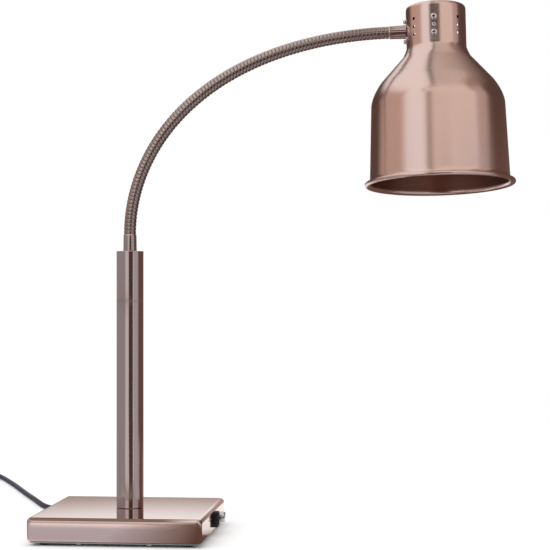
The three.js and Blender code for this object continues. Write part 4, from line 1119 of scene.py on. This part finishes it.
def veil(name, rows, colour, level):
    """A soft-edged panel that only reflections see; rows hold points and each one's cover."""
    count = len(rows[0])
    faces = [(i, i + 1, i + 1 + count, i + count) for row in range(len(rows) - 1)
             for i in range(row * count, row * count + count - 1)]

    material, tree = new_material(name + "_cloth")
    tree.nodes.clear()
    share = add(tree, "Attribute", attribute_name="cover").outputs["Fac"]
    glow = add(tree, "Emission", {"Color": (*colour, 1), "Strength": level})
    mix = add(tree, "MixShader", {"Fac": share, 1: add(tree, "BsdfTransparent"), 2: glow})
    add(tree, "OutputMaterial", {"Surface": mix})

    obj = stage_mesh(name, [point for row in rows for point, _ in row], faces, material)
    covers = obj.data.attributes.new("cover", "FLOAT", "POINT")
    covers.data.foreach_set("value", [cover for row in rows for _, cover in row])
    obj.visible_camera = obj.visible_diffuse = obj.visible_shadow = False
    obj.visible_transmission = obj.visible_volume_scatter = False


def round_veil(name, spot, bearings, soft, section, colour, level):
    """A panel round a spot, between two bearings from the camera."""
    toward = scene.camera.location - spot
    ahead = degrees(atan2(toward.x, -toward.y))
    start, end = bearings
    columns = [start, start + soft]
    while columns[-1] + COLUMN_STEP < end - soft:
        columns.append(columns[-1] + COLUMN_STEP)
    columns += [end - soft, end]
    rows = []
    for distance, height, cover in section:
        row = []
        for bearing in columns:
            angle = radians(ahead + bearing)
            share = max(min((bearing - start) / soft, (end - bearing) / soft, 1.0), 0.0)
            point = (spot.x + distance * sin(angle), spot.y - distance * cos(angle), height)
            row.append((point, cover * share))
        rows.append(row)
    veil(name, rows, colour, level)


def flat_veil(name, x_range, y_range, soft, height, colour, level):
    """A level panel."""
    def places(low, high):
        return [(low, 0.0), (low + soft, 1.0), (high - soft, 1.0), (high, 0.0)]

    rows = [[((x, y, height), a * b) for x, a in places(*x_range)] for y, b in places(*y_range)]
    veil(name, rows, colour, level)


def shifted(section, nearer):
    return [(distance - nearer, height, cover) for distance, height, cover in section]


GREY, BLUE, WARM = (0.98, 0.99, 1.04), (0.96, 1.0, 1.12), (1.0, 0.9, 0.82)
ROSE, BROWN, RUST = (1.0, 0.8, 0.73), (1.0, 0.77, 0.65), (1.0, 0.68, 0.52)
DARK = (1.0, 0.62, 0.5)

# Sections: (distance from the spot, height, cover)
low, low_right = [[(0.34, laid(k), 0), (0.38, laid(k), 1), (1.2, laid(k), 1), (1.2, 0.56, 1),
                   (1.2, 0.66, 0)] for k in (0, 4)]
near = [(0.15, laid(0), 0), (0.17, laid(1), 1), (0.37, laid(1), 1), (0.39, laid(0), 0)]
near_right = [(0.22, laid(7), 0), (0.25, laid(7), 1), (0.37, laid(7), 1), (0.39, laid(7), 0)]
left = [(1.2, 0.44, 0), (1.2, 0.52, 1), (1.2, 1.1, 1), (1.2, 1.5, 0)]
high = [(1.2, 0.36, 0), (1.2, 0.42, 1), (1.2, 1.3, 1), (1.2, 1.9, 0)]
side = [(1.2, 0.36, 0), (1.2, 0.42, 1), (1.2, 1.0, 1), (1.2, 1.25, 0)]
front = [(1.1, 0.52, 0), (1.1, 0.6, 1), (1.1, 1.7, 1), (1.1, 2.0, 0)]
neck = [(0.3, 0.63, 0), (0.3, 0.645, 1), (0.3, 0.72, 1), (0.3, 0.76, 0)]
shelf = [(0.3, 0.633, 1), (0.15, 0.585, 1)]
back = [(0.33, laid(0), 1), (0.33, 0.06, 1), (0.33, 0.088, 0)]

# Panels round the post, low down and out over the floor, then round the shade:
# name, bearings, soft edge, section, colour, level
round_panels = {"post": (
    ("post_light", (-46, -8), 6, shifted(low, -0.03), GREY, 0.72),
    ("post_left", (-167, -36), 8, low, GREY, 0.36),
    ("post_left_near", (-165, -56), 8, near, GREY, 0.36),
    ("post_right", (24, 88), 8, low_right, GREY, 0.5),
    ("post_right_near", (22, 90), 8, near_right, GREY, 0.5),
    ("post_right_flag", (66, 165), 12, shifted(low_right, 0.02), DARK, 0.16),
    ("post_front_flag", (-14, 27), 5, shifted(low, 0.04), DARK, 0.09),
), "shade": (
    ("shade_left", (-125, -53), 12, left, BROWN, 0.6),
    ("shade_left_flag", (-180, -104), 16, shifted(side, 0.04), DARK, 0.1),
    ("shade_front", (-18, 66), 8, front, WARM, 0.85),
    ("shade_strip", (-23, -8), 6, shifted(front, 0.04), BROWN, 0.36),
    ("shade_right", (60, 110), 10, high, ROSE, 0.56),
    ("shade_right_flag", (86, 180), 12, shifted(high, 0.04), DARK, 0.11),
    ("neck_flag", (-27, 16), 5, neck, DARK, 0.0),
    ("neck_shelf", (-23, 20), 5, shelf, WARM, 0.85),
)}
for spot, panels in round_panels.items():
    for name, *values in panels:
        round_veil(name, SPOTS[spot], *values)

# Level panels overhead, over the base (edge-on to the camera), and on the table:
# name, x range, y range, soft edge, height, colour, level
for panel in (
    ("boom_strip", (-0.04, 0.17), (-1.5, 0.6), 0.04, 2.3, BROWN, 0.12),
    ("boom", (0.1, 1.7), (-1.6, 1.2), 0.08, 2.35, WARM, 0.68),
    ("boom_back", (0.35, 3.4), (0.05, 2.6), 0.9, 2.28, BROWN, 0.3),
    ("boom_right", (1.3, 3.6), (-1.6, 2.6), 0.4, 2.3, RUST, 0.32),
    ("hood", (-0.3, 0.06), (-0.45, 0.15), 0.04, CAMERA_PLACE[2], BROWN, 0.3),
    ("counter", (0.16, 0.8), (-0.42, 0.4), 0.08, laid(2), DARK, 0.12),
    ("apron", (-0.32, 0.24), (-0.24, -0.09), 0.02, laid(4), BLUE, 0.6),
    ("kerb", (-0.32, 0.24), (-0.42, -0.281), 0.012, laid(4), BROWN, 0.3),
    ("apron_right", (-0.02, 0.24), (-0.36, 0.02), 0.09, laid(6), ROSE, 0.25),
    ("corner", (0.07, 0.24), (-0.25, -0.02), 0.02, laid(8), DARK, 0.14),
):
    flat_veil(*panel)

# Low behind the base
round_veil("behind", SPOTS["post"], (125, 235), 15, back, ROSE, 0.44)


def make_world():
    """White where it is seen, and dimmer as the light on matt surfaces."""
    world = bpy.data.worlds.new("studio")
    scene.world = world
    world.use_nodes = True
    tree = world.node_tree
    rays = add(tree, "LightPath").outputs
    seen = calc(tree, "MAXIMUM", rays["Is Camera Ray"], rays["Is Glossy Ray"])
    seen = calc(tree, "MAXIMUM", seen, rays["Is Transmission Ray"])
    level = add(tree, "MapRange", {"Value": seen, "To Min": AMBIENT, "To Max": 1.0})
    feed(tree.nodes["Background"], {"Color": (1, 1, 1, 1), "Strength": level})


KEY_PLACE, KEY_AIM = Vector((-0.9, -1.0, 1.9)), Vector((0.1, 0, 0.1))
KEY_SIZE, KEY_WATTS = 1.2, 9


def make_key_light():
    """A round lamp that reflections don't see."""
    data = bpy.data.lights.new("key", "AREA")
    data.shape, data.size, data.energy = "DISK", KEY_SIZE, KEY_WATTS
    obj = link("key", data)
    obj.location = KEY_PLACE
    obj.rotation_euler = (KEY_AIM - KEY_PLACE).to_track_quat("-Z", "Y").to_euler()
    obj.visible_glossy = False


scene.view_settings.view_transform = "Standard"
make_floor()
make_world()
make_key_light()
